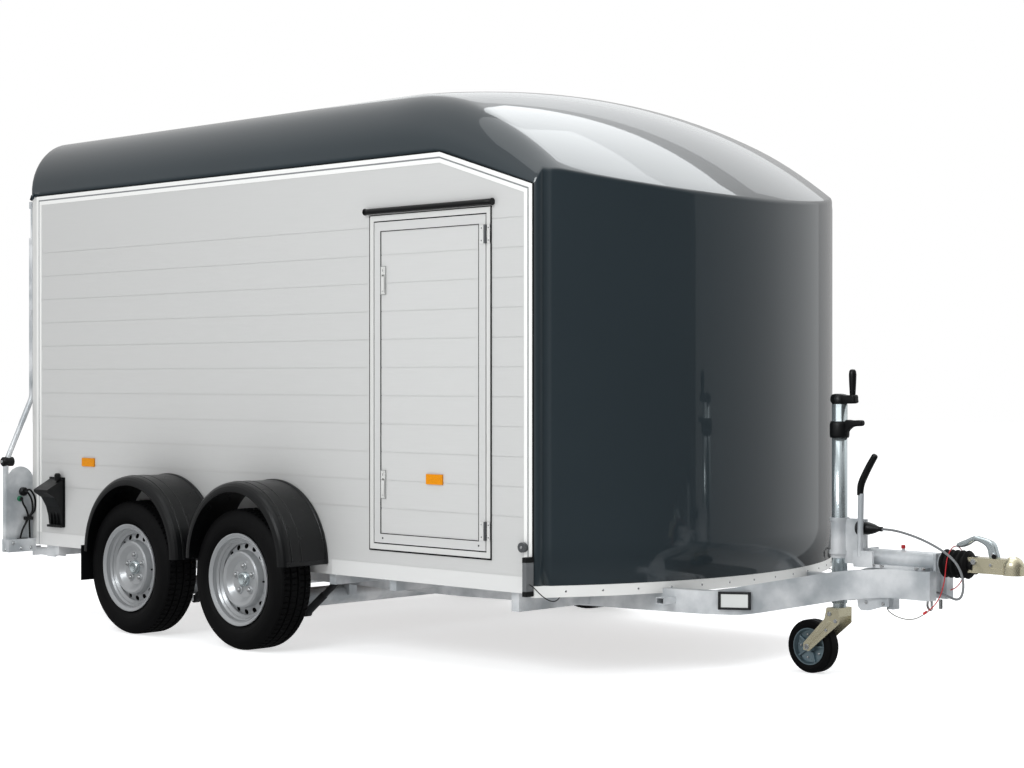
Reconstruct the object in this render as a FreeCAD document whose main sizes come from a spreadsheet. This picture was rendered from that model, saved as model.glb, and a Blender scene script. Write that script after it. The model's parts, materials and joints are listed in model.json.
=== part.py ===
import FreeCAD, Part
import math
import os
import re
import sys

import Sketcher
from FreeCAD import Rotation, Vector

os.makedirs("parts", exist_ok=True)
doc = FreeCAD.newDocument("EnclosedTrailer")
sheet = doc.addObject("Spreadsheet::Sheet", "Sizes")

# Driving dimensions in millimetres and degrees: alias, number, what it measures.
# X runs forward from the rear edge of the side wall, Y is left of the centre plane, Z is up from the ground.
SIZES = (
    ("wall_length", "3336", "side wall, rear edge to front edge"),
    ("body_half", "963", "centre plane to outer face of the side wall"),
    ("wall_thick", "20", "side wall planks"),
    ("wall_bottom", "333", "ground to bottom edge of the side wall"),
    ("wall_top", "2034", "ground to top edge of the side wall"),
    ("slope_run", "492", "length of the sloping top edge at the front"),
    ("slope_drop", "155", "fall of the sloping top edge"),
    ("plank_pitch", "113.5", "height of one wall plank"),
    ("plank_first", "621", "ground to the lowest plank joint"),
    ("plank_joints", "11", "number of plank joints"),
    ("joint_width", "4", "open width of a plank joint"),
    ("joint_depth", "1.5", "depth of a plank joint"),
    ("trim_width", "42", "edge trim of the side wall"),
    ("trim_thick", "2.5", "ribs of the edge trim standing proud of the wall"),
    ("trim_web", "1", "edge trim between its ribs"),
    ("trim_groove", "7", "groove between the ribs of the edge trim"),
    ("trim_over", "9", "edge trim reaching over the moulded front"),
    ("rail_height", "62", "rail along the bottom of the side wall"),
    ("rail_thick", "1.2", "bottom rail standing proud of the wall"),
    ("shell_thick", "18", "moulded roof and front"),
    ("shell_bottom", "364", "ground to lower edge of the moulded front"),
    ("skirt_bottom", "320", "ground to the lower edge of the skirt strip"),
    ("skirt_thick", "3", "skirt strip"),
    ("roof_rise", "332", "top of the side wall to the roof crown"),
    ("roof_drop", "506", "fall of the roof crown from its knee to the nose"),
    ("knee_ahead", "1095", "knee of the roof back from the nose"),
    ("roof_overhang", "45", "roof behind the side wall"),
    ("camber_rear", "90", "fall of the roof across half its width at the rear"),
    ("camber_front", "161", "the same at the nose"),
    ("shoulder_rear", "181", "shoulder radius of the roof at the rear"),
    ("shoulder_front", "87", "shoulder radius of the roof at the nose"),
    ("corner_return", "16", "moulding from the side wall to the front corner"),
    ("corner_radius", "26", "front corner of the moulding"),
    ("bow_depth", "301", "front corner to nose"),
    ("deck_thick", "18", "floor board"),
    ("rebate", "2", "step in the floor's edge under the skirt"),
    ("deck_bottom", "338", "ground to underside of the floor board"),
    ("door_ahead", "210", "door frame back from the front edge of the wall"),
    ("door_frame_length", "689", "door frame outside, along the wall"),
    ("door_frame_bottom", "454", "ground to the door frame"),
    ("door_top_gap", "231", "top of the wall down to the door frame"),
    ("door_frame_face", "22", "visible face of the door frame"),
    ("door_frame_lip", "12", "frame overlapping the wall"),
    ("door_gap", "5", "clearance round the door leaf"),
    ("door_thick", "22", "door leaf"),
    ("door_edge", "36", "raised edge profile of the door leaf"),
    ("hinge_radius", "6", "door hinge knuckle"),
    ("hinge_pin", "3", "radius of the door hinge pin"),
    ("hinge_height", "72", "door hinge"),
    ("hinge_inset", "77", "hinge centre from the end of the leaf"),
    ("pin_play", "0.3", "running clearance at pins and tubes"),
    ("hinge_leaf", "32", "hinge strap on the door leaf"),
    ("latch_inset", "55", "latch from the free edge of the leaf"),
    ("latch_height", "112", "flush latch"),
    ("latch_width", "28", "flush latch"),
    ("latch_end", "180", "each end of the leaf to the nearer latch"),
    ("latch_lock", "8", "radius of the round lock in a latch"),
    ("catch_radius", "19", "door catch on the front edge of the wall"),
    ("catch_reach", "17", "door catch standing out"),
    ("catch_back", "31", "front edge of the wall back to the door catch"),
    ("catch_height", "508", "ground to the door catch"),
    ("rain_rail_over", "20", "rain rail past the door frame"),
    ("rain_rail_lift", "8", "door frame to the rain rail"),
    ("rain_rail_height", "18", "rain rail"),
    ("rain_rail_depth", "22", "rain rail standing out"),
    ("post_width", "60", "rear portal post across the trailer"),
    ("portal_depth", "45", "rear portal along the trailer"),
    ("header_height", "59", "rear portal header"),
    ("sill_height", "57", "rear portal sill"),
    ("sill_half", "865", "centre plane to the end of the deep sill"),
    ("ramp_thick", "30", "rear ramp panel"),
    ("ramp_gap", "5", "clearance round the ramp"),
    ("ramp_hinge_radius", "11", "ramp hinge knuckle"),
    ("ramp_hinge_width", "60", "one ramp hinge knuckle"),
    ("ramp_hinge_out", "580", "ramp hinge from the centre plane"),
    ("beam_height", "88", "chassis beam under the floor"),
    ("beam_front_height", "107", "chassis beam at the coupling"),
    ("beam_width", "45", "chassis beam"),
    ("beam_out", "650", "centre plane to outer face of the beam"),
    ("beam_front_out", "80", "the same at the coupling"),
    ("neck_rise", "76", "rise of the drawbar at the nose"),
    ("neck_out", "440", "centre plane to the drawbar where it bends in"),
    ("member_width", "40", "cross member along the trailer"),
    ("member_height", "80", "cross member"),
    ("tyre_radius", "298", "wheel over its tread"),
    ("tyre_width", "185", "tyre section"),
    ("rim_radius", "195", "rim flange"),
    ("rear_axle", "1040", "rear axle from the rear edge of the wall"),
    ("axle_spacing", "781", "between the axles"),
    ("wheel_out", "115", "wheel centre plane outside the wall"),
    ("bolt_circle", "56", "wheel bolts, radius of the circle"),
    ("guard_radius", "338", "mudguard"),
    ("guard_width", "240", "mudguard, wall to outer edge"),
    ("guard_thick", "4", "mudguard"),
    ("guard_lip", "42", "mudguard outer lip"),
    ("guard_round", "30", "rounded outer edge of the mudguard"),
    ("guard_centre", "374", "ground to centre of the mudguard arch"),
    ("torsion_ahead", "75", "torsion tube ahead of the hub"),
    ("torsion_radius", "42", "torsion tube"),
    ("torsion_height", "205", "ground to the torsion tube"),
    ("ball_ahead", "1162", "nose to the centre of the coupling ball"),
    ("ball_height", "452", "ground to the centre of the coupling ball"),
    ("ball_radius", "25.3", "ball socket"),
    ("head_nose", "40", "ball centre to the tip of the coupling"),
    ("head_neck", "173", "ball centre back to the bellows"),
    ("shaft_rise", "11", "drawbar shaft above the ball centre"),
    ("housing_length", "326", "overrun housing"),
    ("housing_radius", "37", "overrun housing"),
    ("bellows_length", "116", "bellows"),
    ("bellows_radius", "53", "bellows"),
    ("jockey_ahead", "409", "nose to the jockey wheel leg"),
    ("jockey_tube", "30", "radius of the jockey tube"),
    ("jockey_leg", "25", "radius of the jockey leg"),
    ("spindle_radius", "18", "wheel spindle"),
    ("jockey_top", "1046", "ground to the top of the jockey tube"),
    ("jockey_foot", "280", "ground to the lower end of the jockey tube"),
    ("jockey_wheel", "104", "radius of the jockey wheel"),
    ("jockey_trail", "123", "jockey leg to the wheel axle"),
    ("jockey_half", "33", "half the width of the jockey wheel"),
    ("clamp_wall", "8", "wall of the jockey clamp ring"),
    ("tail_tube", "13.5", "radius of the rear corner tube"),
    ("tail_in", "8", "inboard corner tube inside the face of the wall"),
    ("tail_out", "140", "face of the wall to the outboard corner tube"),
    ("tail_top", "199", "top of the wall down to the corner tube"),
    ("tail_bend", "721", "bottom of the wall to the upper bend of the corner tube"),
    ("tail_knee", "402", "bottom of the wall to the lower bend of the corner tube"),
    ("tail_radius", "90", "bends of the corner tube"),
    ("tail_rod", "165", "latch rod above the corner tube"),
    ("lamp_plate_height", "385", "rear lamp plate"),
    ("lamp_height", "260", "rear lamp"),
    ("chock_ahead", "120", "rear edge of the wall to the chock"),
    ("chock_width", "116", "chock along the wall"),
    ("lamp_depth", "45", "rear lamp"),
    ("plate_thick", "4", "pressed plates and brackets"),
    ("cable_radius", "4.5", "plug cable"),
    ("wire_radius", "2", "breakaway cable and lamp wire"),
)

ALIASES = {alias for alias, number, meaning in SIZES}
for row, (alias, number, meaning) in enumerate(SIZES, start=1):
    sheet.set(f"A{row}", meaning)
    sheet.set(f"B{row}", number)
    sheet.setAlias(f"B{row}", alias)
doc.recompute()

# Places that follow from the driving dimensions.
NOSE = "(wall_length + corner_return + bow_depth)"
BALL = f"({NOSE} + ball_ahead)"
TAIL = "(portal_depth + plate_thick + lamp_depth)"
SHIFT = f"({TAIL} - {BALL} - head_nose) / 2"
INNER = "(body_half - wall_thick)"
ROOF = "(wall_top + roof_rise)"
DECK_TOP = "(deck_bottom + deck_thick)"
BEAM_BOTTOM = "(deck_bottom - beam_height)"
PORTAL_IN = "(body_half - 3 - post_width)"
HEADER_BOTTOM = "(wall_top - header_height)"
DOOR_REAR = "(wall_length - door_ahead - door_frame_length)"
DOOR_FRONT = "(wall_length - door_ahead)"
DOOR_TOP = "(wall_top - door_top_gap)"
JOCKEY_X = f"({NOSE} + jockey_ahead)"
HOUSING_REAR = f"({BALL} - head_neck - bellows_length - housing_length)"
SHAFT = "(ball_height + shaft_rise)"
HOUSING_TOP = f"({SHAFT} + housing_radius)"
DRAWBAR_TOP = f"({BEAM_BOTTOM} + neck_rise + beam_front_height)"
SIDES = (("right", -1), ("left", 1))
AXLES = (("front", "(rear_axle + axle_spacing)"), ("rear", "rear_axle"))

nodes = []
own_x = {}


def ref(text):
    """The expression with every alias pointed at the sheet."""
    return re.sub(
        r"[a-z_0-9]+", lambda word: "Sizes." + word[0] if word[0] in ALIASES else word[0], str(text)
    )


def mm(text):
    return float(sheet.evalExpression(ref(text)))


def bind(thing, name, text):
    thing.setExpression(name, ref(text))


def node(thing, label, x="0"):
    """Names a finished sub-part and puts it in the row's frame."""
    bind(thing, "Placement.Base.x", f"{SHIFT} + {own_x.get(thing.Name, x)}")
    thing.Label = label
    nodes.append(thing)
    return thing


def block(name, x, y, z):
    """A box between two ends along each axis."""
    box = doc.addObject("Part::Box", name)
    own_x[box.Name] = x[0]
    for axis, side, (low, high) in zip("xyz", ("Length", "Width", "Height"), (x, y, z)):
        bind(box, f"Placement.Base.{axis}", low)
        bind(box, side, f"({high}) - ({low})")
    return box


TURNS = {
    "x": Rotation(Vector(0, 1, 0), 90),
    "y": Rotation(Vector(1, 0, 0), -90),
    "z": Rotation(),
}


def rod(name, foot, axis, radius, length):
    """A round bar from its foot along one axis."""
    bar = doc.addObject("Part::Cylinder", name)
    own_x[bar.Name] = foot[0]
    bar.Placement = FreeCAD.Placement(Vector(), TURNS[axis])
    for letter, text in zip("xyz", foot):
        bind(bar, f"Placement.Base.{letter}", text)
    bind(bar, "Radius", radius)
    bind(bar, "Height", length)
    return bar


def join(name, pieces):
    whole = doc.addObject("Part::MultiFuse", name)
    whole.Shapes = pieces
    whole.Refine = True
    return whole


def group(name, pieces):
    whole = doc.addObject("Part::Compound", name)
    whole.Links = pieces
    return whole


def cut(name, base, tool):
    rest = doc.addObject("Part::Cut", name)
    rest.Base = base
    rest.Tool = tool
    rest.Refine = True
    return rest


def across(sign, near, far):
    """The two Y ends of something on one side, from distances off the centre plane."""
    return (f"-({far})", f"-({near})") if sign < 0 else (near, far)


def plane(body, role):
    return [item for item in body.Origin.OriginFeatures if item.Role == role][0]


def outline(body, role, corners, name, offset=None):
    """A closed sketch of straight edges whose corners are bound to the sheet."""
    sketch = body.newObject("Sketcher::SketchObject", name)
    sketch.AttachmentSupport = (plane(body, role), "")
    sketch.MapMode = "FlatFace"
    if offset is not None:
        bind(sketch, "AttachmentOffset.Base.z", offset)
    places = [(mm(across_), mm(up)) for across_, up in corners]
    total = len(places)
    for index, (start_x, start_y) in enumerate(places):
        end_x, end_y = places[(index + 1) % total]
        sketch.addGeometry(Part.LineSegment(Vector(start_x, start_y, 0), Vector(end_x, end_y, 0)))
    for index in range(total):
        sketch.addConstraint(Sketcher.Constraint("Coincident", index, 2, (index + 1) % total, 1))
    for index, corner in enumerate(corners):
        for kind, part in (("DistanceX", 0), ("DistanceY", 1)):
            number = sketch.addConstraint(
                Sketcher.Constraint(kind, -1, 1, index, 1, places[index][part])
            )
            bind(sketch, f"Constraints[{number}]", corner[part])
    return sketch


def rectangle(low_x, high_x, low_y, high_y):
    return [(low_x, low_y), (high_x, low_y), (high_x, high_y), (low_x, high_y)]


def padded(name, role, corners, low, depth):
    """A plate: a closed outline on an origin plane, from low along its normal."""
    body = doc.addObject("PartDesign::Body", name)
    sketch = outline(body, role, corners, name + "Outline", low)
    pad = body.newObject("PartDesign::Pad", name + "Pad")
    pad.Profile = sketch
    bind(pad, "Length", depth)
    return body


def turned(name, corners):
    """A ring about the Y axis: corners give radius and place along the axis."""
    body = doc.addObject("PartDesign::Body", name)
    sketch = outline(body, "XY_Plane", corners, name + "Profile")
    ring = body.newObject("PartDesign::Revolution", name + "Ring")
    ring.Profile = sketch
    ring.ReferenceAxis = (sketch, ["V_Axis"])
    ring.Angle = 360
    return body


def pocket_pattern(body, name, corners, count):
    """Cuts an outline in the XZ plane through the body and repeats it about the Y axis."""
    sketch = outline(body, "XZ_Plane", corners, name + "Outline")
    hole = body.newObject("PartDesign::Pocket", name)
    hole.Profile = sketch
    hole.Type = "ThroughAll"
    hole.Midplane = True
    doc.recompute()
    ring = body.newObject("PartDesign::PolarPattern", name + "Pattern")
    ring.Originals = [hole]
    ring.Axis = (plane(body, "Y_Axis"), [""])
    ring.Angle = 360
    ring.Occurrences = count
    body.Tip = ring
    return ring


def shaped(name, shape):
    """A sub-part whose form comes straight from the modelling kernel."""
    thing = doc.addObject("Part::Feature", name)
    thing.Shape = shape
    return thing


def tangent_path(points, radii):
    """Straight runs joined by tangent arcs of the given radii at the inner points."""
    edges = []
    start = points[0]
    for before, corner, after, radius in zip(points, points[1:], points[2:], radii):
        back = (before - corner).normalize()
        ahead = (after - corner).normalize()
        half_turn = (math.pi - back.getAngle(ahead)) / 2
        reach = radius * math.tan(half_turn)
        entry = corner + back * reach
        leave = corner + ahead * reach
        inward = (back + ahead).normalize()
        middle = corner + inward * (radius / math.cos(half_turn) - radius)
        edges.append(Part.LineSegment(start, entry).toShape())
        edges.append(Part.Arc(entry, middle, leave).toShape())
        start = leave
    edges.append(Part.LineSegment(start, points[-1]).toShape())
    return edges


# Side walls of horizontal planks, with the doorway in the right one.
WALL_OUTLINE = [
    ("0", "wall_bottom"),
    ("wall_length", "wall_bottom"),
    ("wall_length", "wall_top - slope_drop"),
    ("wall_length - slope_run", "wall_top"),
    ("0", "wall_top"),
]


def side_wall(side, sign):
    low, high = across(sign, INNER, "body_half")
    body = padded(f"Wall_{side}", "XZ_Plane", WALL_OUTLINE, f"-({high})", "wall_thick")
    if sign < 0:
        groove_low, groove_high = "-body_half", "-body_half + joint_depth"
        doorway = rectangle(
            f"{DOOR_REAR} + door_frame_lip",
            f"{DOOR_FRONT} - door_frame_lip",
            "door_frame_bottom + door_frame_lip",
            f"{DOOR_TOP} - door_frame_lip",
        )
        sketch = outline(body, "XZ_Plane", doorway, "DoorwayOutline")
        opening = body.newObject("PartDesign::Pocket", "Doorway")
        opening.Profile = sketch
        opening.Type = "ThroughAll"
        opening.Midplane = True
    else:
        groove_low, groove_high = "body_half - joint_depth", "body_half"
    doc.recompute()
    groove = outline(
        body,
        "YZ_Plane",
        rectangle(groove_low, groove_high, "plank_first - joint_width / 2", "plank_first + joint_width / 2"),
        f"PlankJointOutline_{side}",
    )
    channel = body.newObject("PartDesign::Pocket", f"PlankJoint_{side}")
    channel.Profile = groove
    channel.Type = "ThroughAll"
    channel.Midplane = True
    doc.recompute()
    rows = body.newObject("PartDesign::LinearPattern", f"PlankJoints_{side}")
    rows.Originals = [channel]
    rows.Direction = (plane(body, "Z_Axis"), [""])
    bind(rows, "Length", "plank_pitch * (plank_joints - 1)")
    rows.Occurrences = int(mm("plank_joints"))
    body.Tip = rows
    node(body, f"side_wall_{side}")


def trim_line(inset):
    """Foot to foot along the rear, top, sloping and front edges, drawn in by an inset."""
    front = f"wall_length + trim_over - ({inset})"
    return [
        (inset, "wall_bottom"),
        (inset, f"wall_top - ({inset})"),
        ("wall_length - slope_run", f"wall_top - ({inset})"),
        (front, f"wall_top - slope_drop - ({inset}) + (({inset}) - trim_over) * slope_drop / slope_run"),
        (front, "wall_bottom"),
    ]


GUARD_REACH = "(guard_radius + 40)"


def wall_trims():
    """Edge trim on both walls, two ribs with a groove between, and the bottom rail."""
    middle = "(trim_width - trim_groove) / 2"
    strips = (
        ("Web", "0", "trim_width", "trim_web"),
        ("OuterRib", "0", middle, "trim_thick"),
        ("InnerRib", f"{middle} + trim_groove", "trim_width", "trim_thick"),
    )
    rails = (
        ("Rear", "trim_width", f"rear_axle - {GUARD_REACH}"),
        ("Front", f"rear_axle + axle_spacing + {GUARD_REACH}", "wall_length + trim_over - trim_width"),
    )
    trims = []
    for side, sign in SIDES:
        pieces = []
        for name, near, far, thick in strips:
            corners = trim_line(near) + trim_line(far)[::-1]
            low, high = across(sign, "body_half", f"body_half + {thick}")
            pieces.append(padded(f"Trim{name}_{side}", "XZ_Plane", corners, f"-({high})", thick))
        for name, start, end in rails:
            pieces.append(block(
                f"Rail{name}_{side}",
                (start, end),
                across(sign, "body_half", "body_half + rail_thick"),
                ("wall_bottom", "wall_bottom + rail_height"),
            ))
        trims.append(join(f"TrimSet_{side}", pieces))
    node(group("Trims", trims), "wall_trims")


def door_frame():
    outer = (DOOR_REAR, DOOR_FRONT, "door_frame_bottom", DOOR_TOP)
    signs = ("+", "-", "+", "-")
    fit = [f"{edge} {mark} door_frame_lip" for edge, mark in zip(outer, signs)]
    clear = [f"{edge} {mark} door_frame_face" for edge, mark in zip(outer, signs)]
    face = ("-body_half - trim_thick", "-body_half")
    flange = block("FrameFlange", outer[0:2], face, outer[2:4])
    lining = block("FrameLining", fit[0:2], ("-body_half", f"-{INNER}"), fit[2:4])
    void = block("FrameVoid", clear[0:2], ("-body_half - wall_thick", "-body_half + 2 * wall_thick"), clear[2:4])
    node(cut("Frame", join("FrameSolid", [flange, lining]), void), "door_frame")


LEAF_REAR = f"({DOOR_REAR} + door_frame_face + door_gap)"
LEAF_FRONT = f"({DOOR_FRONT} - door_frame_face - door_gap)"
LEAF_BOTTOM = "(door_frame_bottom + door_frame_face + door_gap)"
LEAF_TOP = f"({DOOR_TOP} - door_frame_face - door_gap)"
LEAF_FACE = "(body_half + trim_thick)"
HINGE_X = f"({LEAF_FRONT} + door_gap / 2)"
HINGE_Y = f"({LEAF_FACE} + hinge_radius)"
HINGE_PLATE = "2"
HINGE_HEIGHTS = (f"({LEAF_BOTTOM} + hinge_inset)", f"({LEAF_TOP} - hinge_inset)")


LATCHES = (
    ("Low", f"({LEAF_BOTTOM} + latch_end)"),
    ("High", f"({LEAF_TOP} - latch_end - latch_height)"),
)
LATCH_ENDS = (f"{LEAF_REAR} + latch_inset - latch_width / 2", f"{LEAF_REAR} + latch_inset + latch_width / 2")


def side_door():
    """Leaf with a raised edge profile round a sunk panel of planks."""
    leaf = block(
        "Leaf",
        (LEAF_REAR, LEAF_FRONT),
        (f"-{LEAF_FACE}", f"-{LEAF_FACE} + door_thick"),
        (LEAF_BOTTOM, LEAF_TOP),
    )
    panel = (f"{LEAF_REAR} + door_edge", f"{LEAF_FRONT} - door_edge")
    low, high = (f"{LEAF_BOTTOM} + door_edge", f"{LEAF_TOP} - door_edge")
    cuts = [block("PanelSink", panel, (f"-{LEAF_FACE} - 1", "-body_half"), (low, high))]
    for index in range(int(mm("plank_joints"))):
        joint = f"(plank_first + {index} * plank_pitch)"
        if mm(low) < mm(f"{joint} - joint_width") and mm(f"{joint} + joint_width") < mm(high):
            cuts.append(block(
                f"LeafJoint{index}",
                panel,
                ("-body_half - 1", "-body_half + joint_depth"),
                (f"{joint} - joint_width / 2", f"{joint} + joint_width / 2"),
            ))
    for name, foot in LATCHES:
        cuts.append(block(
            f"LatchPocket{name}",
            LATCH_ENDS,
            (f"-{LEAF_FACE} - 1", f"-{LEAF_FACE} + door_thick / 2"),
            (foot, f"{foot} + latch_height"),
        ))
    node(cut("LeafCut", leaf, join("LeafCuts", cuts)), "side_door_leaf")


def door_latches():
    """Two flush latches: a shallow tray in the leaf with a lift handle and a round lock."""
    latches = []
    rear, front = LATCH_ENDS
    for name, foot in LATCHES:
        top = f"{foot} + latch_height"
        tray = block(f"Tray{name}", (rear, front), (f"-{LEAF_FACE} - 2", f"-{LEAF_FACE} + door_thick / 2"), (foot, top))
        bowl = block(
            f"Bowl{name}",
            (f"{rear} + 4", f"{front} - 4"),
            (f"-{LEAF_FACE} - 3", f"-{LEAF_FACE} + door_thick / 3"),
            (f"{foot} + 5", f"{top} - 4 * latch_lock"),
        )
        handle = block(
            f"Handle{name}",
            (f"{rear} + 7", f"{front} - 7"),
            (f"-{LEAF_FACE} - 5", f"-{LEAF_FACE} - 1"),
            (f"{foot} + 3", f"{top} - 5 * latch_lock"),
        )
        lock = rod(
            f"Lock{name}",
            (f"{LEAF_REAR} + latch_inset", f"-{LEAF_FACE} - 5", f"{top} - 2 * latch_lock"),
            "y",
            "latch_lock",
            "4",
        )
        latches.append(join(f"Latch{name}", [cut(f"TrayCut{name}", tray, bowl), handle, lock]))
    node(group("Latches", latches), "door_latches")


def door_catch():
    """Round catch that holds the open door, on the front edge trim."""
    body = rod(
        "DoorCatch",
        ("wall_length - catch_back", "-body_half - trim_thick - catch_reach", "catch_height"),
        "y",
        "catch_radius",
        "catch_reach",
    )
    node(body, "door_catch")


def door_hinges():
    """Two hinges: plate, outer knuckles and pin on the frame, plate and middle knuckle on the leaf."""
    fixed = []
    moving = []
    for index, middle in enumerate(HINGE_HEIGHTS):
        low = f"({middle} - hinge_height / 2)"
        third = "(hinge_height / 3)"
        face = (f"-{LEAF_FACE} - {HINGE_PLATE}", f"-{LEAF_FACE}")
        outboard = (HINGE_X, f"{DOOR_FRONT} - 1")
        inboard = (f"{HINGE_X} - hinge_leaf", HINGE_X)
        centre = (HINGE_X, f"-{HINGE_Y}")
        column = rod(f"Column{index}", (*centre, low), "z", "hinge_radius", "hinge_height")
        window = block(
            f"Window{index}",
            (f"{HINGE_X} - 40", f"{HINGE_X} + 40"),
            (f"-{HINGE_Y} - 20", f"-{HINGE_Y} + 20"),
            (f"{low} + {third} - pin_play", f"{low} + 2 * {third} + pin_play"),
        )
        plate = block(
            f"FixedPlate{index}",
            (f"{HINGE_X} + hinge_radius + pin_play", outboard[1]),
            face,
            (low, f"{low} + hinge_height"),
        )
        tabs = [
            block(f"FixedTab{index}{name}", (HINGE_X, outboard[1]), face, (foot, f"{foot} + {third} - pin_play"))
            for name, foot in (("Low", low), ("High", f"({low} + 2 * {third} + pin_play)"))
        ]
        pin = rod(f"Pin{index}", (*centre, low), "z", "hinge_pin", "hinge_height")
        knuckles = cut(f"FixedKnuckles{index}", column, window)
        fixed.append(join(f"FixedHinge{index}", [knuckles, plate, pin, *tabs]))
        knuckle = rod(
            f"Knuckle{index}", (*centre, f"{low} + {third}"), "z", "hinge_radius", third
        )
        bore = rod(f"KnuckleBore{index}", (*centre, low), "z", "hinge_pin + 0.05", "hinge_height")
        strap = block(
            f"MovingPlate{index}",
            (inboard[0], HINGE_X),
            face,
            (f"{low} + {third}", f"{low} + 2 * {third}"),
        )
        moving.append(cut(f"MovingHinge{index}", join(f"MovingSolid{index}", [knuckle, strap]), bore))
    node(group("FixedHinges", fixed), "door_hinge_frames")
    node(group("MovingHinges", moving), "door_hinge_leaves")


def rain_rail():
    foot = f"({DOOR_TOP} + rain_rail_lift)"
    depth = "rain_rail_depth"
    profile = [
        ("-body_half", foot),
        (f"-body_half - {depth}", foot),
        (f"-body_half - {depth}", f"{foot} + rain_rail_height / 2"),
        (f"-body_half - {depth} * 0.7", f"{foot} + rain_rail_height * 0.85"),
        (f"-body_half - {depth} * 0.3", f"{foot} + rain_rail_height"),
        ("-body_half", f"{foot} + rain_rail_height"),
    ]
    rail = padded(
        "RainRail",
        "YZ_Plane",
        profile,
        f"{DOOR_REAR} - rain_rail_over",
        "door_frame_length + 2 * rain_rail_over",
    )
    node(rail, "door_rain_rail")


# Moulded roof and front: sections of lines and arcs along the roof, cut to the bowed plan.
ROOF_BAYS = 12
ROOF_STATIONS = (0.0, 0.2, 0.4, 0.6, 0.8, 1.0, 1.1)


def roof_section(x, station, inset):
    """Upright section of the roof: flat sides, shoulder arcs and a cambered crown."""
    half = mm("body_half") - inset
    blend = max(station, 0.0)
    fall = mm("roof_drop") * (1.128 * blend ** 2 - 0.128 * blend ** 3)
    crown = mm(ROOF) - inset - fall
    camber = mm("camber_rear") + (mm("camber_front") - mm("camber_rear")) * blend
    shoulder = mm("shoulder_rear") + (mm("shoulder_front") - mm("shoulder_rear")) * blend - inset

    def height(off_centre):
        reach = max(0.0, off_centre - (half - shoulder))
        return crown - camber * (off_centre / half) ** 2 - shoulder + math.sqrt(
            max(0.0, shoulder ** 2 - reach ** 2)
        )

    start = half - shoulder
    lean = start + shoulder * math.sin(math.pi / 4)
    outer = [Vector(x, sign * half, height(half)) for sign in (-1, 1)]
    bend = [Vector(x, sign * lean, height(lean)) for sign in (-1, 1)]
    inner = [Vector(x, sign * start, height(start)) for sign in (-1, 1)]
    feet = [Vector(x, sign * half, 0) for sign in (-1, 1)]
    return Part.Wire([
        Part.LineSegment(feet[0], outer[0]).toShape(),
        Part.Arc(outer[0], bend[0], inner[0]).toShape(),
        Part.Arc(inner[0], Vector(x, 0, crown), inner[1]).toShape(),
        Part.Arc(inner[1], bend[1], outer[1]).toShape(),
        Part.LineSegment(outer[1], feet[1]).toShape(),
        Part.LineSegment(feet[1], feet[0]).toShape(),
    ])


def nose_circle(inset):
    """Radius and centre of the front face's bow, drawn in by an inset."""
    half = mm("body_half") - inset
    nose = mm(NOSE) - inset
    rise = nose - mm("wall_length + corner_return") + inset / 2
    radius = (half ** 2 + rise ** 2) / (2 * rise)
    return radius, nose - radius


def moulding(inset):
    """The solid inside the roof and front faces, drawn in by an inset."""
    nose = mm(NOSE)
    knee = nose - mm("knee_ahead")
    rear = -mm("roof_overhang") + inset
    step = (knee - rear) / ROOF_BAYS
    sections = [roof_section(rear + step * bay, 0.0, inset) for bay in range(ROOF_BAYS)]
    sections += [
        roof_section(knee + station * (nose - knee), station, inset) for station in ROOF_STATIONS
    ]
    roof = Part.makeLoft(sections, True, False, False, 5)
    radius, centre = nose_circle(inset)
    wide = mm("body_half") + 60
    wing = centre + math.sqrt(radius ** 2 - wide ** 2)
    front = [Vector(wing, sign * wide, -5) for sign in (-1, 1)]
    back = [Vector(rear - 50, sign * wide, -5) for sign in (-1, 1)]
    plan = Part.Wire([
        Part.LineSegment(back[0], front[0]).toShape(),
        Part.Arc(front[0], Vector(nose - inset, 0, -5), front[1]).toShape(),
        Part.LineSegment(front[1], back[1]).toShape(),
        Part.LineSegment(back[1], back[0]).toShape(),
    ])
    solid = roof.common(Part.Face(plan).extrude(Vector(0, 0, mm(ROOF) + 100)))
    crease = []
    for edge in solid.Edges:
        span = edge.LastParameter - edge.FirstParameter
        points = [edge.valueAt(edge.FirstParameter + span * part / 4) for part in range(5)]
        bowed = all(abs(math.hypot(point.x - centre, point.y) - radius) < 0.05 for point in points)
        if bowed and max(point.z for point in points) > 5:
            crease.append(edge)
    return solid.makeFillet(mm("corner_radius") - inset / 2, crease)


def body_shell():
    wall = Part.makePolygon([
        Vector(-2 * mm("roof_overhang"), -2 * mm("body_half"), -1),
        Vector(-2 * mm("roof_overhang"), -2 * mm("body_half"), mm("wall_top")),
        Vector(mm("wall_length - slope_run"), -2 * mm("body_half"), mm("wall_top")),
        Vector(mm("wall_length"), -2 * mm("body_half"), mm("wall_top - slope_drop")),
        Vector(mm("wall_length"), -2 * mm("body_half"), -1),
        Vector(-2 * mm("roof_overhang"), -2 * mm("body_half"), -1),
    ])
    walls = Part.Face(wall).extrude(Vector(0, 4 * mm("body_half"), 0))
    below = Part.makeBox(
        2 * mm(NOSE), 4 * mm("body_half"), mm("shell_bottom") + 1, Vector(-mm(NOSE) / 2, -2 * mm("body_half"), -1)
    )
    shell = moulding(0.0).cut(moulding(mm("shell_thick"))).cut(walls).cut(below)
    reach = 3 * mm(NOSE)
    right = shell.common(Part.makeBox(reach, reach, reach, Vector(-mm(NOSE), -reach, -1)))
    left = right.mirror(Vector(), Vector(0, 1, 0))
    node(shaped("Shell", right.fuse(left).removeSplitter()), "body_shell")


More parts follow.
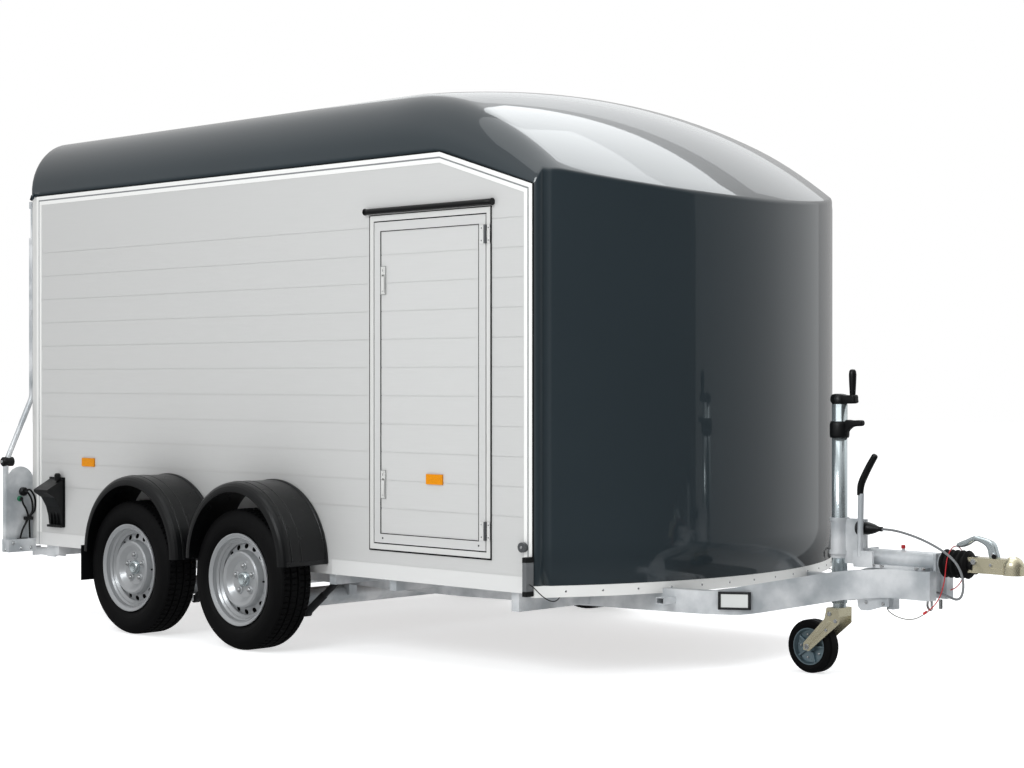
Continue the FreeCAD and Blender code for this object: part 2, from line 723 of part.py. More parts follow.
def bow_face(inset, rear):
    """Plan of the body from rear to nose, drawn in by an inset, on the ground plane."""
    half = mm("body_half") - inset
    corner = mm("wall_length") + mm("corner_return") - inset / 2
    return Part.Face(Part.Wire([
        Part.LineSegment(Vector(rear, -half, 0), Vector(corner, -half, 0)).toShape(),
        Part.Arc(Vector(corner, -half, 0), Vector(mm(NOSE) - inset, 0, 0), Vector(corner, half, 0)).toShape(),
        Part.LineSegment(Vector(corner, half, 0), Vector(rear, half, 0)).toShape(),
        Part.LineSegment(Vector(rear, half, 0), Vector(rear, -half, 0)).toShape(),
    ]))


def floor_deck():
    nose = bow_face(1 + mm("skirt_thick"), mm("wall_length"))
    deck = bow_face(mm("wall_thick"), 0.0).extrude(Vector(0, 0, mm("deck_thick")))
    deck = deck.fuse(nose.extrude(Vector(0, 0, mm("deck_thick - rebate")))).removeSplitter()
    deck.translate(Vector(0, 0, mm("deck_bottom")))
    node(shaped("Deck", deck), "floor_deck")


def front_skirt(beams):
    """Angle strip under the moulded front, notched over the chassis beams."""
    start = mm("wall_length")
    deck_top = mm(f"{DECK_TOP} - rebate")
    web = bow_face(1.0, start).cut(bow_face(1 + mm("skirt_thick"), start - 1.0))
    web = web.extrude(Vector(0, 0, mm("shell_bottom - skirt_bottom")))
    web.translate(Vector(0, 0, mm("skirt_bottom")))
    ledge = bow_face(1.0, start).cut(bow_face(mm("wall_thick"), start - 1.0))
    ledge = ledge.extrude(Vector(0, 0, mm("shell_bottom") - deck_top))
    ledge.translate(Vector(0, 0, deck_top))
    skirt = web.fuse(ledge).removeSplitter()
    for beam in beams:
        skirt = skirt.cut(beam)
    node(shaped("Skirt", skirt), "front_skirt")


def rear_portal():
    depth = ("-portal_depth", "0")
    outer = "(body_half - 3)"
    pieces = [
        block("Header", depth, (f"-{PORTAL_IN}", PORTAL_IN), (HEADER_BOTTOM, "wall_top")),
        block("Sill", depth, ("-sill_half", "sill_half"), ("deck_bottom - sill_height", "deck_bottom")),
        block("SillEnds", depth, (f"-{PORTAL_IN}", PORTAL_IN), ("wall_bottom", "deck_bottom")),
    ]
    for side, sign in SIDES:
        pieces.append(block(
            f"Post_{side}", depth, across(sign, PORTAL_IN, outer), ("wall_bottom", "wall_top")
        ))
    return pieces


RAMP_HALF = f"({PORTAL_IN} - ramp_gap)"
RAMP_BOTTOM = "(deck_bottom + ramp_gap)"
RAMP_TOP = f"({HEADER_BOTTOM} - ramp_gap)"
RAMP_PIN_X = "(-portal_depth - ramp_hinge_radius - 2)"
RAMP_PIN_Z = "(deck_bottom - 5)"


def rear_ramp(portal):
    panel = block(
        "RampPanel",
        ("-portal_depth", "-portal_depth + ramp_thick"),
        (f"-{RAMP_HALF}", RAMP_HALF),
        (RAMP_BOTTOM, RAMP_TOP),
    )
    node(panel, "ramp_panel")
    fixed = []
    moving = []
    for side, sign in SIDES:
        centre = f"({sign} * ramp_hinge_out)"
        strap_x = ("-portal_depth - plate_thick", "-portal_depth")
        for index, place in enumerate((-1, 0, 1)):
            start = f"({centre} + {place} * (ramp_hinge_width + pin_play) - ramp_hinge_width / 2)"
            name = f"{side}{index}"
            knuckle = rod(
                f"RampKnuckle_{name}",
                (RAMP_PIN_X, start, RAMP_PIN_Z),
                "y",
                "ramp_hinge_radius",
                "ramp_hinge_width",
            )
            ends = (start, f"{start} + ramp_hinge_width")
            if place:
                strap = block(
                    f"SillStrap_{name}", (RAMP_PIN_X, "-portal_depth"), ends, (f"{RAMP_PIN_Z} - 45", f"{RAMP_PIN_Z} - 5")
                )
                fixed.append(join(f"SillHinge_{name}", [knuckle, strap]))
            else:
                strap = block(
                    f"RampStrap_{name}", strap_x, ends, (f"{RAMP_BOTTOM}", f"{RAMP_PIN_Z} + 180")
                )
                web = block(
                    f"RampWeb_{name}",
                    (f"{RAMP_PIN_X} - ramp_hinge_radius / 2", "-portal_depth"),
                    ends,
                    (f"{RAMP_PIN_Z} + 2", f"{RAMP_PIN_Z} + 30"),
                )
                keep = block(
                    f"RampKeep_{name}",
                    (f"{RAMP_PIN_X} - 30", "-portal_depth"),
                    ends,
                    (f"{RAMP_BOTTOM}", f"{RAMP_PIN_Z} + 30"),
                )
                common = doc.addObject("Part::Common", f"RampWebTrim_{name}")
                common.Base = web
                common.Tool = keep
                moving.append(join(f"RampHinge_{name}", [knuckle, strap, common]))
    for side, sign in SIDES:
        guide = f"({sign} * ({RAMP_HALF} - 90))"
        moving.append(rod(
            f"LockBar_{side}", ("-portal_depth - 14", guide, f"{RAMP_BOTTOM} + 60"), "z", "10", f"{RAMP_TOP} - {RAMP_BOTTOM} - 120"
        ))
        for index, share in enumerate(("0.1", "0.5", "0.9")):
            height = f"({RAMP_BOTTOM} + {share} * ({RAMP_TOP} - {RAMP_BOTTOM}))"
            saddle = block(
                f"Saddle_{side}{index}",
                ("-portal_depth - 26", "-portal_depth"),
                (f"{guide} - 22", f"{guide} + 22"),
                (f"{height} - 20", f"{height} + 20"),
            )
            moving[-1] = join(f"LockSet_{side}{index}", [moving[-1], saddle])
    node(join("PortalHinged", portal + fixed), "rear_portal")
    node(group("RampFittings", moving), "ramp_fittings")


# Chassis beams run straight under the floor, bend in to the drawbar and rise at its neck.
def parallel(points, distance):
    """The same open run of corners moved sideways by a distance, with mitred corners."""
    moved = []
    last = len(points) - 1
    for index, point in enumerate(points):
        before = points[max(index - 1, 0)]
        after = points[min(index + 1, last)]
        first = (point - before) if index else (after - point)
        second = (after - point) if index < last else (point - before)
        first.normalize()
        second.normalize()
        normal = Vector(-first.y - second.y, first.x + second.x, 0).normalize()
        stretch = normal.dot(Vector(-first.y, first.x, 0))
        moved.append(point + normal * (distance / stretch))
    return moved


def beam_plan():
    """Corners of the right beam's outer face seen from above, and the radius at each inner corner."""
    straight_end = mm("wall_length") - 690
    bend = mm(NOSE) + 177
    waist = mm(NOSE) + 497
    outer = mm("beam_out")
    tip = mm("beam_front_out")
    front = mm(f"{HOUSING_REAR} + housing_length") - 10
    corners = [
        Vector(60, -outer, 0),
        Vector(straight_end, -outer, 0),
        Vector(bend, -mm("neck_out"), 0),
        Vector(waist, -tip - 38, 0),
        Vector(waist + 105, -tip, 0),
        Vector(front, -tip, 0),
    ]
    return corners, [600, 500, 160, 160]


def chassis_beam(side, sign):
    plan, radii = beam_plan()
    width = mm("beam_width")
    inner = parallel(plan, width)
    turns = (-1, -1, 1, 1)
    inner_radii = [radius + turn * width for radius, turn in zip(radii, turns)]
    ends = [
        Part.LineSegment(plan[0], inner[0]).toShape(),
        Part.LineSegment(plan[-1], inner[-1]).toShape(),
    ]
    edges = tangent_path(plan, radii) + tangent_path(inner, inner_radii) + ends
    face = Part.Face(Part.Wire(Part.sortEdges(edges)[0]))
    column = face.extrude(Vector(0, 0, mm(ROOF)))
    bottom = mm(BEAM_BOTTOM)
    rise = mm("neck_rise")
    low_line = [
        Vector(0, 0, bottom),
        Vector(plan[2].x + 60, 0, bottom),
        Vector(plan[3].x, 0, bottom + rise * 0.75),
        Vector(plan[3].x + 170, 0, bottom + rise),
        Vector(plan[-1].x + 50, 0, bottom + rise),
    ]
    top = mm("deck_bottom")
    top_rise = mm(DRAWBAR_TOP) - top
    high_line = [
        Vector(0, 0, top),
        Vector(plan[2].x - 40, 0, top),
        Vector(plan[3].x - 20, 0, top + top_rise * 0.8),
        Vector(plan[3].x + 170, 0, top + top_rise),
        Vector(plan[-1].x + 50, 0, top + top_rise),
    ]
    bends = [300, 500, 500]
    caps = [
        Part.LineSegment(low_line[0], high_line[0]).toShape(),
        Part.LineSegment(low_line[-1], high_line[-1]).toShape(),
    ]
    edges = tangent_path(low_line, bends) + tangent_path(high_line, bends) + caps
    profile = Part.Face(Part.Wire(Part.sortEdges(edges)[0]))
    beam = column.common(profile.extrude(Vector(0, -mm("body_half"), 0)))
    if sign > 0:
        beam = beam.mirror(Vector(), Vector(0, 1, 0))
    return beam


def chassis(beams):
    tube_x = mm(NOSE) - 55
    reach = 545.0
    tube_low = mm(BEAM_BOTTOM) + 34
    tube = Part.makeBox(40, 2 * reach, 26, Vector(tube_x, -reach, tube_low))
    hollow = Part.makeBox(34, 2 * reach, 20, Vector(tube_x + 3, -reach, tube_low + 3))
    for side in beams:
        node(shaped(f"Beam_{side}", beams[side].cut(tube)), f"chassis_beam_{side}")
    top = mm("deck_bottom")
    inside = mm("beam_out") - mm("beam_width")
    width = mm("member_width")
    height = mm("member_height")
    members = [tube.cut(hollow)]
    stations = [120.0, 620.0, 2530.0] + [mm(hub) + 340 for label, hub in AXLES]
    for station in stations:
        members.append(Part.makeBox(width, 2 * inside, height, Vector(station, -inside, top - height)))
        for side, sign in SIDES:
            low = mm("beam_out") if sign > 0 else -mm(INNER)
            length = mm(INNER) - mm("beam_out")
            members.append(Part.makeBox(width, length, 50, Vector(station, low, top - 50)))
    front_x = mm("wall_length") - 120
    front = Part.makeBox(width, 2 * mm(INNER), height, Vector(front_x, -mm(INNER), top - height))
    front = front.cut(beams["right"]).cut(beams["left"])
    members.extend(front.Solids)
    node(shaped("Members", Part.makeCompound(members)), "cross_members")


# Axles: rubber torsion tube, trailing arm, stub and brake plate.
def axle(label, hub):
    tube_x = f"({hub} + torsion_ahead)"
    arm_out = f"({INNER} - 4)"
    arm_in = f"({INNER} - 50)"
    tube = rod(
        f"Torsion_{label}", (tube_x, f"-{arm_out}", "torsion_height"), "y", "torsion_radius", f"2 * {arm_out}"
    )
    pieces = [tube]
    for side, sign in SIDES:
        low, high = across(sign, arm_in, arm_out)
        arm = padded(
            f"Arm_{label}_{side}",
            "XZ_Plane",
            [
                (f"{hub} - 30", "tyre_radius - 20"),
                (f"{tube_x} - 40", "torsion_height - torsion_radius + 6"),
                (f"{hub} + 92", "torsion_height - 74"),
                (f"{hub} + 124", "torsion_height - 66"),
                (f"{tube_x} + 40", "torsion_height + torsion_radius - 6"),
                (f"{hub} + 20", "tyre_radius + 30"),
                (f"{hub} - 20", "tyre_radius + 30"),
            ],
            f"-({high})",
            "46",
        )
        stub_low, stub_high = across(sign, arm_in, "body_half + 49")
        stub = rod(f"Stub_{label}_{side}", (hub, stub_low, "tyre_radius"), "y", "25", f"({stub_high}) - ({stub_low})")
        spindle_low, spindle_high = across(sign, arm_in, "body_half + 95")
        spindle = rod(f"Spindle_{label}_{side}", (hub, spindle_low, "tyre_radius"), "y", "spindle_radius", f"({spindle_high}) - ({spindle_low})")
        plate_low, plate_high = across(sign, "body_half + 27", "body_half + 49")
        plate = rod(f"BrakePlate_{label}_{side}", (hub, plate_low, "tyre_radius"), "y", "118", "22")
        seat = block(
            f"AxleSeat_{label}_{side}",
            (f"{tube_x} - 55", f"{tube_x} + 55"),
            across(sign, "beam_out - beam_width", "beam_out"),
            ("torsion_height", BEAM_BOTTOM),
        )
        pieces.extend([arm, stub, spindle, plate, seat])
    node(join(f"Axle_{label}", pieces), f"axle_{label}")


def shock_absorbers():
    dampers = []
    for label, hub in AXLES:
        for side, sign in SIDES:
            foot = Vector(mm(hub) + 105, sign * (mm(INNER) - 78), mm("torsion_height") - 60)
            head = Vector(mm(hub) + 320, sign * (mm(INNER) - 78), mm("deck_bottom") - 32)
            along = (head - foot).normalize()
            body = Part.makeCylinder(14, (head - foot).Length * 0.55, foot + along * ((head - foot).Length * 0.45), along)
            stem = Part.makeCylinder(17, (head - foot).Length * 0.5, foot, along)
            eyes = [
                Part.makeCylinder(18, 26, place - Vector(0, 13, 0), Vector(0, 1, 0)) for place in (foot, head)
            ]
            lower_pin_low = min(sign * (mm(INNER) - 92), sign * (mm(INNER) - 50))
            lower_pin = Part.makeCylinder(8, 42, Vector(foot.x, lower_pin_low, foot.z), Vector(0, 1, 0))
            bracket = Part.makeBox(40, 26, 32, Vector(head.x - 20, head.y - 13, mm("deck_bottom") - 32))
            dampers.append(body.fuse([stem, *eyes, lower_pin, bracket]).removeSplitter())
    node(shaped("Dampers", Part.makeCompound(dampers)), "shock_absorbers")


# Road wheels: tyre with sidewalls and grooved tread, and a pressed wheel with sixteen vents.
def road_wheel(axle_label, hub, side, sign):
    """Profiles give the radius and the place outward from the wheel's centre plane."""
    half = "(tyre_width / 2)"
    tread = "(tyre_radius)"
    tyre = [
        ("rim_radius - 14", "68.5"),
        ("rim_radius + 4", "75"),
        ("rim_radius + 28", f"{half} - 3"),
        ("rim_radius + 48", half),
        ("rim_radius + 68", f"{half} - 2"),
        (f"{tread} - 16", "82"),
        (f"{tread} - 3", "70"),
        (tread, "58"),
    ]
    for centre in (38, 0, -38):
        tyre += [
            (tread, f"{centre + 5}"),
            (f"{tread} - 7", f"{centre + 4}"),
            (f"{tread} - 7", f"{centre - 4}"),
            (tread, f"{centre - 5}"),
        ]
    mirrored = [(radius, f"-({place})") for radius, place in reversed(tyre[:8])]
    profile = [(radius, f"-({place})") for radius, place in tyre + mirrored]
    angle = 0 if sign < 0 else 180
    name = f"{axle_label}_{side}"
    rubber = turned(f"Tyre_{name}", profile)
    rim_outer = [
        ("rim_radius", "83"),
        ("rim_radius", "76.3"),
        ("rim_radius - 14", "69.7"),
        ("rim_radius - 17", "58"),
        ("rim_radius - 39", "40"),
        ("rim_radius - 39", "-8"),
        ("rim_radius - 17", "-46"),
        ("rim_radius - 14", "-69.7"),
        ("rim_radius", "-76.3"),
        ("rim_radius", "-83"),
        ("rim_radius - 4", "-83"),
        ("rim_radius - 19", "-74"),
        ("rim_radius - 22", "-48"),
        ("rim_radius - 44", "-10"),
        ("rim_radius - 44", "22"),
        ("rim_radius - 76", "32"),
        ("rim_radius - 82", "60"),
        ("rim_radius - 88", "64.5"),
        ("rim_radius - 99", "60"),
        ("80", "36"),
        ("72", "29"),
        ("0", "29"),
        ("0", "54"),
        ("22", "54"),
        ("27", "49"),
        ("27", "41"),
        ("46", "41"),
        ("76", "46"),
        ("rim_radius - 98", "66"),
        ("rim_radius - 84", "71"),
        ("rim_radius - 77", "66"),
        ("rim_radius - 71", "38"),
        ("rim_radius - 44", "30"),
        ("rim_radius - 44", "40"),
        ("rim_radius - 22", "60"),
        ("rim_radius - 19", "74"),
        ("rim_radius - 4", "83"),
    ]
    rim = turned(f"Rim_{name}", [(radius, f"-({place})") for radius, place in rim_outer])
    doc.recompute()
    pocket_pattern(
        rim,
        f"Vent_{name}",
        [
            ("-12", "rim_radius - 61"),
            ("-5", "rim_radius - 67"),
            ("5", "rim_radius - 67"),
            ("12", "rim_radius - 61"),
            ("12", "rim_radius - 51"),
            ("5", "rim_radius - 45"),
            ("-5", "rim_radius - 45"),
            ("-12", "rim_radius - 51"),
        ],
        16,
    )
    drum = turned(f"Drum_{name}", [
        ("0", "-28.5"),
        ("72", "-28.5"),
        ("72", "-12"),
        ("124", "-2"),
        ("124", "60"),
        ("spindle_radius + pin_play", "60"),
        ("spindle_radius + pin_play", "19"),
        ("0", "19"),
    ])
    place = f"{sign} * (body_half + wheel_out)"
    for thing in (rubber, rim, drum):
        thing.Placement = FreeCAD.Placement(Vector(), Rotation(Vector(0, 0, 1), angle))
        bind(thing, "Placement.Base.y", place)
        bind(thing, "Placement.Base.z", "tyre_radius")
    node(rubber, f"tyre_{name}", hub)
    wheel = [rim, drum]
    for thing in wheel:
        bind(thing, "Placement.Base.x", hub)
    node(group(f"Wheel_{name}", wheel), f"wheel_{name}")


GUARD_STEPS = 4


def mudguards(side, sign):
    """Two arched guards with an outer lip, each swept round its wheel."""
    guards = []
    for label, hub, offset, width in (("front", AXLES[0][1], 16, 0), ("rear", AXLES[1][1], 49, 16)):
        body = doc.addObject("PartDesign::Body", f"Guard_{label}_{side}")
        radius = f"(guard_radius + {width})"
        near = "(body_half + pin_play)"
        far = "(body_half + guard_width)"
        low, high = (f"{sign} * {near}", f"{sign} * {far}")
        lip = f"{sign} * ({far} - guard_thick)"
        turns = [math.radians(90 * step / GUARD_STEPS) for step in range(GUARD_STEPS + 1)]
        inside = [
            (
                f"{sign} * ({far} - guard_round + (guard_round - guard_thick) * {math.sin(turn):.4f})",
                f"{radius} - guard_round + (guard_round - guard_thick) * {math.cos(turn):.4f}",
            )
            for turn in turns
        ]
        outside = [
            (
                f"{sign} * ({far} - guard_round + guard_round * {math.sin(turn):.4f})",
                f"{radius} - guard_round + guard_round * {math.cos(turn):.4f}",
            )
            for turn in reversed(turns)
        ]
        profile = [
            (low, f"{radius} - guard_thick"),
            *inside,
            (lip, f"{radius} - guard_lip"),
            (high, f"{radius} - guard_lip"),
            *outside,
            (low, radius),
        ]
        corners = [(up, out) for out, up in profile]
        sketch = outline(body, "XY_Plane", corners, f"GuardProfile_{label}_{side}")
        sweep = body.newObject("PartDesign::Revolution", f"GuardArch_{label}_{side}")
        sweep.Profile = sketch
        sweep.ReferenceAxis = (sketch, ["V_Axis"])
        sweep.Angle = 180
        sweep.Reversed = True
        doc.recompute()
        upward = body.Shape.BoundBox.ZMax > 1
        sweep.Reversed = upward
        bind(body, "Placement.Base.x", f"{hub} + {offset}")
        bind(body, "Placement.Base.z", f"guard_centre - {width}")
        guards.append(body)
    rear = "(rear_axle + 49 - guard_radius - 16)"
    flap = block(
        f"Flap_{side}",
        (f"{rear} - guard_thick", rear),
        across(sign, "body_half + 20", "body_half + guard_width"),
        ("guard_centre - 150", "guard_centre + 10"),
    )
    guards[-1] = join(f"GuardAndFlap_{side}", [guards[-1], flap])
    node(group(f"Guards_{side}", guards), f"mudguards_{side}")


# Side furniture: chocks in their holders, reflectors and front marker lamps.
def wheel_chocks():
    """A chock hung on each wall, its curved face outward, on a flat holder."""
    face = "(body_half + trim_thick + 2)"
    section = (
        ("0", "435"), ("5", "435"), ("11", "480"), ("24", "527"), ("51", "572"),
        ("93", "598"), ("93", "610"), ("0", "660"),
    )
    holders = []
    for side, sign in SIDES:
        corners = [(f"{sign} * ({face} + {out})", up) for out, up in section]
        wedge = padded(f"Chock_{side}", "YZ_Plane", corners, "chock_ahead", "chock_width")
        holder = block(
            f"Holder_{side}",
            ("chock_ahead", "chock_ahead + chock_width"),
            across(sign, "body_half", face),
            ("430", "665"),
        )
        holders.append(join(f"ChockSet_{side}", [wedge, holder]))
    node(group("Chocks", holders), "wheel_chocks")


def reflectors():
    """Amber reflectors near the rear of both walls, on the door, and opposite it on the left wall."""
    amber = []
    for side, sign in SIDES:
        for name, start, length in (("Rear", "392", "100"), ("Front", f"{DOOR_FRONT} - 355", "92")):
            amber.append(block(
                f"Amber{name}_{side}",
                (start, f"{start} + {length}"),
                across(sign, "body_half", "body_half + 7"),
                ("727", "767"),
            ))
    door_amber = amber.pop(1)
    node(door_amber, "door_reflector")
    node(group("Ambers", amber), "side_reflectors")


def marker_lamps():
    lamps = []
    for side, sign in SIDES:
        x = ("wall_length - 4", "wall_length + 17")
        lamps.append(block(
            f"Marker_{side}", x, across(sign, "body_half + trim_thick", "body_half + 42"), ("328", "472")
        ))
    node(group("Markers", lamps), "front_marker_lamps")


def beam_reflectors():
    """A reflector on the outside of each beam's bend, square to its face."""
    corners, radii = beam_plan()
    before = (corners[2] - corners[1]).normalize()
    after = (corners[3] - corners[2]).normalize()
    inward = (after - before).normalize()
    half_turn = before.getAngle(after) / 2
    middle = corners[2] + inward * (radii[1] / math.cos(half_turn))
    facing = math.radians(33)
    place = middle + Vector(math.sin(facing), -math.cos(facing), 0) * (radii[1] + 0.3)
    plates = []
    for side, sign in SIDES:
        box = Part.makeBox(118, 9, 62, Vector(-59, -9, -31))
        box.rotate(Vector(), Vector(0, 0, 1), math.degrees(facing))
        box.translate(Vector(place.x, place.y, mm(BEAM_BOTTOM) + 54))
        if sign > 0:
            box = box.mirror(Vector(), Vector(0, 1, 0))
        plates.append(box)
    node(shaped("BeamReflectors", Part.makeCompound(plates)), "beam_reflectors")


# Rear corners: bent tube, lamp plate and lamp on each side, and folding prop stands.
def lamp_plate(low, width, sign):
    """Upright plate with a round top, across the trailer from low."""
    foot = mm("wall_bottom") - 3
    rear = -mm("portal_depth") - mm("plate_thick")
    shoulder = foot + mm("lamp_plate_height") - width / 2
    corners = [Vector(rear, low, foot), Vector(rear, low + width, foot)]
    shoulders = [Vector(rear, low + width, shoulder), Vector(rear, low, shoulder)]
    edges = [
        Part.LineSegment(corners[0], corners[1]).toShape(),
        Part.LineSegment(corners[1], shoulders[0]).toShape(),
        Part.Arc(shoulders[0], Vector(rear, low + width / 2, shoulder + width / 2), shoulders[1]).toShape(),
        Part.LineSegment(shoulders[1], corners[0]).toShape(),
    ]
    return Part.Face(Part.Wire(edges)).extrude(Vector(mm("plate_thick"), 0, 0))


def rear_corners():
    frames = []
    lamps = []
    depth = mm("portal_depth")
    half = mm("body_half")
    tube = mm("tail_tube")
    tube_x = -depth - tube
    top = mm("wall_top - tail_top")
    bend = mm("wall_bottom + tail_bend")
    near = mm("body_half - tail_in")
    far = mm("body_half + tail_out")
    foot = mm("wall_bottom")
    for side, sign in SIDES:
        route = [
            Vector(tube_x, sign * near, top),
            Vector(tube_x, sign * near, bend),
            Vector(tube_x, sign * far, mm("wall_bottom + tail_knee")),
            Vector(tube_x, sign * far, foot - 33),
        ]
        edges = tangent_path(route, [mm("tail_radius")] * 2)
        start = Part.Wire(Part.makeCircle(tube, route[0], Vector(0, 0, 1)))
        bar = Part.Wire(edges).makePipeShell([start], True, True)
        rod_top = Part.makeCylinder(6, mm("tail_rod"), route[0] - Vector(0, 0, 3), Vector(0, 0, 1))
        width = far - near
        low = min(sign * near, sign * far)
        plate = lamp_plate(low, width, sign)
        floor = Part.makeBox(60, width + 20, 62, Vector(-depth - 30, low - 10, foot - 33))
        floor = floor.cut(Part.makeBox(depth, 2 * half - 6, 100, Vector(-depth, 3 - half, foot - 53)))
        lock = Part.makeBox(22, 16, 34, Vector(tube_x - 11, sign * near - 8, top + mm("tail_rod") - 20))
        ears = [
            Part.makeBox(tube + 3, 24, 30, Vector(tube_x - 3, sign * near - 12, bend + 46 + share * (top - bend - 81)))
            for share in (0.0, 0.5, 1.0)
        ]
        frames.append(bar.fuse([rod_top, plate, floor, lock, *ears]).removeSplitter())
        lamp_low = min(sign * (half + 6), sign * (far - 12))
        lamp = Part.makeBox(
            mm("lamp_depth"), far - half - 18, mm("lamp_height"), Vector(-mm(TAIL), lamp_low, foot + 67)
        )
        lamps.append(lamp.cut(bar))
    node(shaped("CornerFrames", Part.makeCompound(frames)), "rear_corner_frames")
    node(shaped("RearLamps", Part.makeCompound(lamps)), "rear_lamps")


def prop_stands():
    """A square leg folded flat under each rear corner, hung on a pin in two ears."""
    ears = []
    for side, sign in SIDES:
        pin_x = "70"
        pin_z = "296"
        out = "(body_half - 55)"
        low, high = across(sign, f"{out} - 18", f"{out} + 18")
        leg = block(f"PropLeg_{side}", (f"{pin_x} - 156", f"{pin_x} + 20"), (low, high), (f"{pin_z} - 18", f"{pin_z} + 16"))
        bore = rod(f"PropBore_{side}", (pin_x, f"{low} - 5", pin_z), "y", "6 + 0.05", "50")
        shoe = block(f"PropShoe_{side}", (f"{pin_x} - 164", f"{pin_x} - 156"), (f"{low} - 4", f"{high} + 4"), (f"{pin_z} - 24", f"{pin_z} + 22"))
        node(join(f"PropStand_{side}", [cut(f"PropLegBored_{side}", leg, bore), shoe]), f"prop_stand_{side}")
        for index, (near, far) in enumerate(((f"{low} - 12", f"{low} - 5"), (f"{high} + 5", f"{high} + 12"))):
            ears.append(block(f"PropEar_{side}{index}", (f"{pin_x} - 22", "120"), (near, far), (f"{pin_z} - 20", "deck_bottom")))
        pin = rod(f"PropPin_{side}", (pin_x, f"{low} - 12", pin_z), "y", "6", "36 + 24")
        ears.append(pin)
    carriers = []
    for index, (side, sign) in enumerate(SIDES):
        carriers.append(join(f"PropCarrier_{side}", ears[index * 3:index * 3 + 3]))
    node(group("PropCarriers", carriers), "prop_stand_brackets")


# Drawbar: overrun housing, bellows, ball coupling, handbrake lever and plug holder.
def overrun_housing(beam):
    seat_low = DRAWBAR_TOP
    tube = rod("HousingTube", (HOUSING_REAR, "0", SHAFT), "x", "housing_radius", "housing_length")
    bore = rod("HousingBore", (f"{HOUSING_REAR} + 20", "0", SHAFT), "x", "26", "housing_length")
    cradle = block(
        "HousingCradle",
        (f"{HOUSING_REAR} + 40", f"{HOUSING_REAR} + 288"),
        ("-beam_front_out + 12", "beam_front_out - 12"),
        (seat_low, f"{seat_low} + 12"),
    )
    saddle = block(
        "HousingSaddle",
        (f"{HOUSING_REAR} + 40", f"{HOUSING_REAR} + 288"),
        ("-30", "30"),
        (seat_low, SHAFT),
    )
    nipple = rod("GreaseCap", (f"{HOUSING_REAR} + 150", "0", f"{HOUSING_TOP} - 4"), "z", "6", "16")
    tray = block(
        "HousingTray",
        (f"{HOUSING_REAR} + 90", f"{HOUSING_REAR} + 120"),
        ("-20", "20"),
        (f"{seat_low} - beam_front_height - 50", f"{seat_low}"),
    )
    closing = block(
        "HousingClosing",
        (f"{HOUSING_REAR} + 270", f"{HOUSING_REAR} + 288"),
        ("-beam_front_out + beam_width", "beam_front_out - beam_width"),
        (f"{seat_low} - beam_front_height + 6", f"{seat_low}"),
    )
    rear = mm(HOUSING_REAR)
    low = mm(f"{seat_low} - beam_front_height")
    corners = [
        Vector(rear + ahead, -66, low - down)
        for ahead, down in ((-20, -30), (-12, 14), (-8, 44), (5, 58), (40, 56), (100, 38), (126, 36), (129, -30))
    ]
    plate = Part.Face(Part.makePolygon(corners + corners[:1])).extrude(Vector(0, 8, 0)).cut(beam)
    solid = join("HousingSolid", [tube, cradle, saddle, nipple, tray, closing, shaped("BeamPlate", plate)])
    node(cut("HousingBored", solid, bore), "overrun_housing")


def bellows():
    """Folded rubber sleeve between the housing and the coupling."""
    folds = 7
    start = f"({HOUSING_REAR} + housing_length)"
    profile = [("26.5", "0"), ("40", "0")]
    for index in range(folds):
        profile.append(("bellows_radius", f"bellows_length * {(index + 0.5) / folds:.4f}"))
        profile.append(("40", f"bellows_length * {(index + 1.0) / folds:.4f}"))
    profile.append(("26.5", "bellows_length"))
    body = turned("Bellows", profile)
    body.Placement = FreeCAD.Placement(Vector(), Rotation(Vector(0, 0, 1), -90))
    bind(body, "Placement.Base.z", SHAFT)
    node(body, "bellows", start)


def coupling_head():
    start = f"({HOUSING_REAR} + 20)"
    shell = "(ball_radius + 13)"
    mouth_low = "(ball_height - 16)"
    shaft = rod("DrawShaft", (f"{start} + 0.3", "0", SHAFT), "x", "25.7", f"{BALL} - {start} - 60")
    neck = block("HeadNeck", (f"{BALL} - head_neck + 1", BALL), ("-28", "28"), (f"{SHAFT} - 26", f"{SHAFT} + 30"))
    dome = doc.addObject("Part::Sphere", "HeadDome")
    dome.Angle1 = 0
    bind(dome, "Placement.Base.x", BALL)
    bind(dome, "Placement.Base.z", "ball_height + 14")
    bind(dome, "Radius", shell)
    skirt = rod("HeadSkirt", (BALL, "0", mouth_low), "z", shell, "30")
    tip = block("HeadTip", (BALL, f"{BALL} + head_nose"), ("-16", "16"), (mouth_low, f"{mouth_low} + 34"))
    socket = doc.addObject("Part::Sphere", "BallSocket")
    bind(socket, "Placement.Base.x", BALL)
    bind(socket, "Placement.Base.z", "ball_height")
    bind(socket, "Radius", "ball_radius")
    mouth = rod("BallMouth", (BALL, "0", "ball_height - 60"), "z", "ball_radius", "60")
    solid = join("HeadSolid", [shaft, neck, dome, skirt, tip])
    node(cut("Head", solid, join("BallSpace", [socket, mouth])), "coupling_head")
    handle = padded(
        "CouplingHandle",
        "XZ_Plane",
        [
            (f"{BALL} - 92", f"{SHAFT} + 30"),
            (f"{BALL} - 60", f"{SHAFT} + 30"),
            (f"{BALL} - 72", f"{SHAFT} + 58"),
            (f"{BALL} - 102", f"{SHAFT} + 97"),
            (f"{BALL} - 157", f"{SHAFT} + 107"),
            (f"{BALL} - 229", f"{SHAFT} + 75"),
            (f"{BALL} - 229", f"{SHAFT} + 62"),
            (f"{BALL} - 206", f"{SHAFT} + 64"),
            (f"{BALL} - 155", f"{SHAFT} + 89"),
            (f"{BALL} - 116", f"{SHAFT} + 78"),
        ],
        "-14",
        "28",
    )
    node(handle, "coupling_handle")


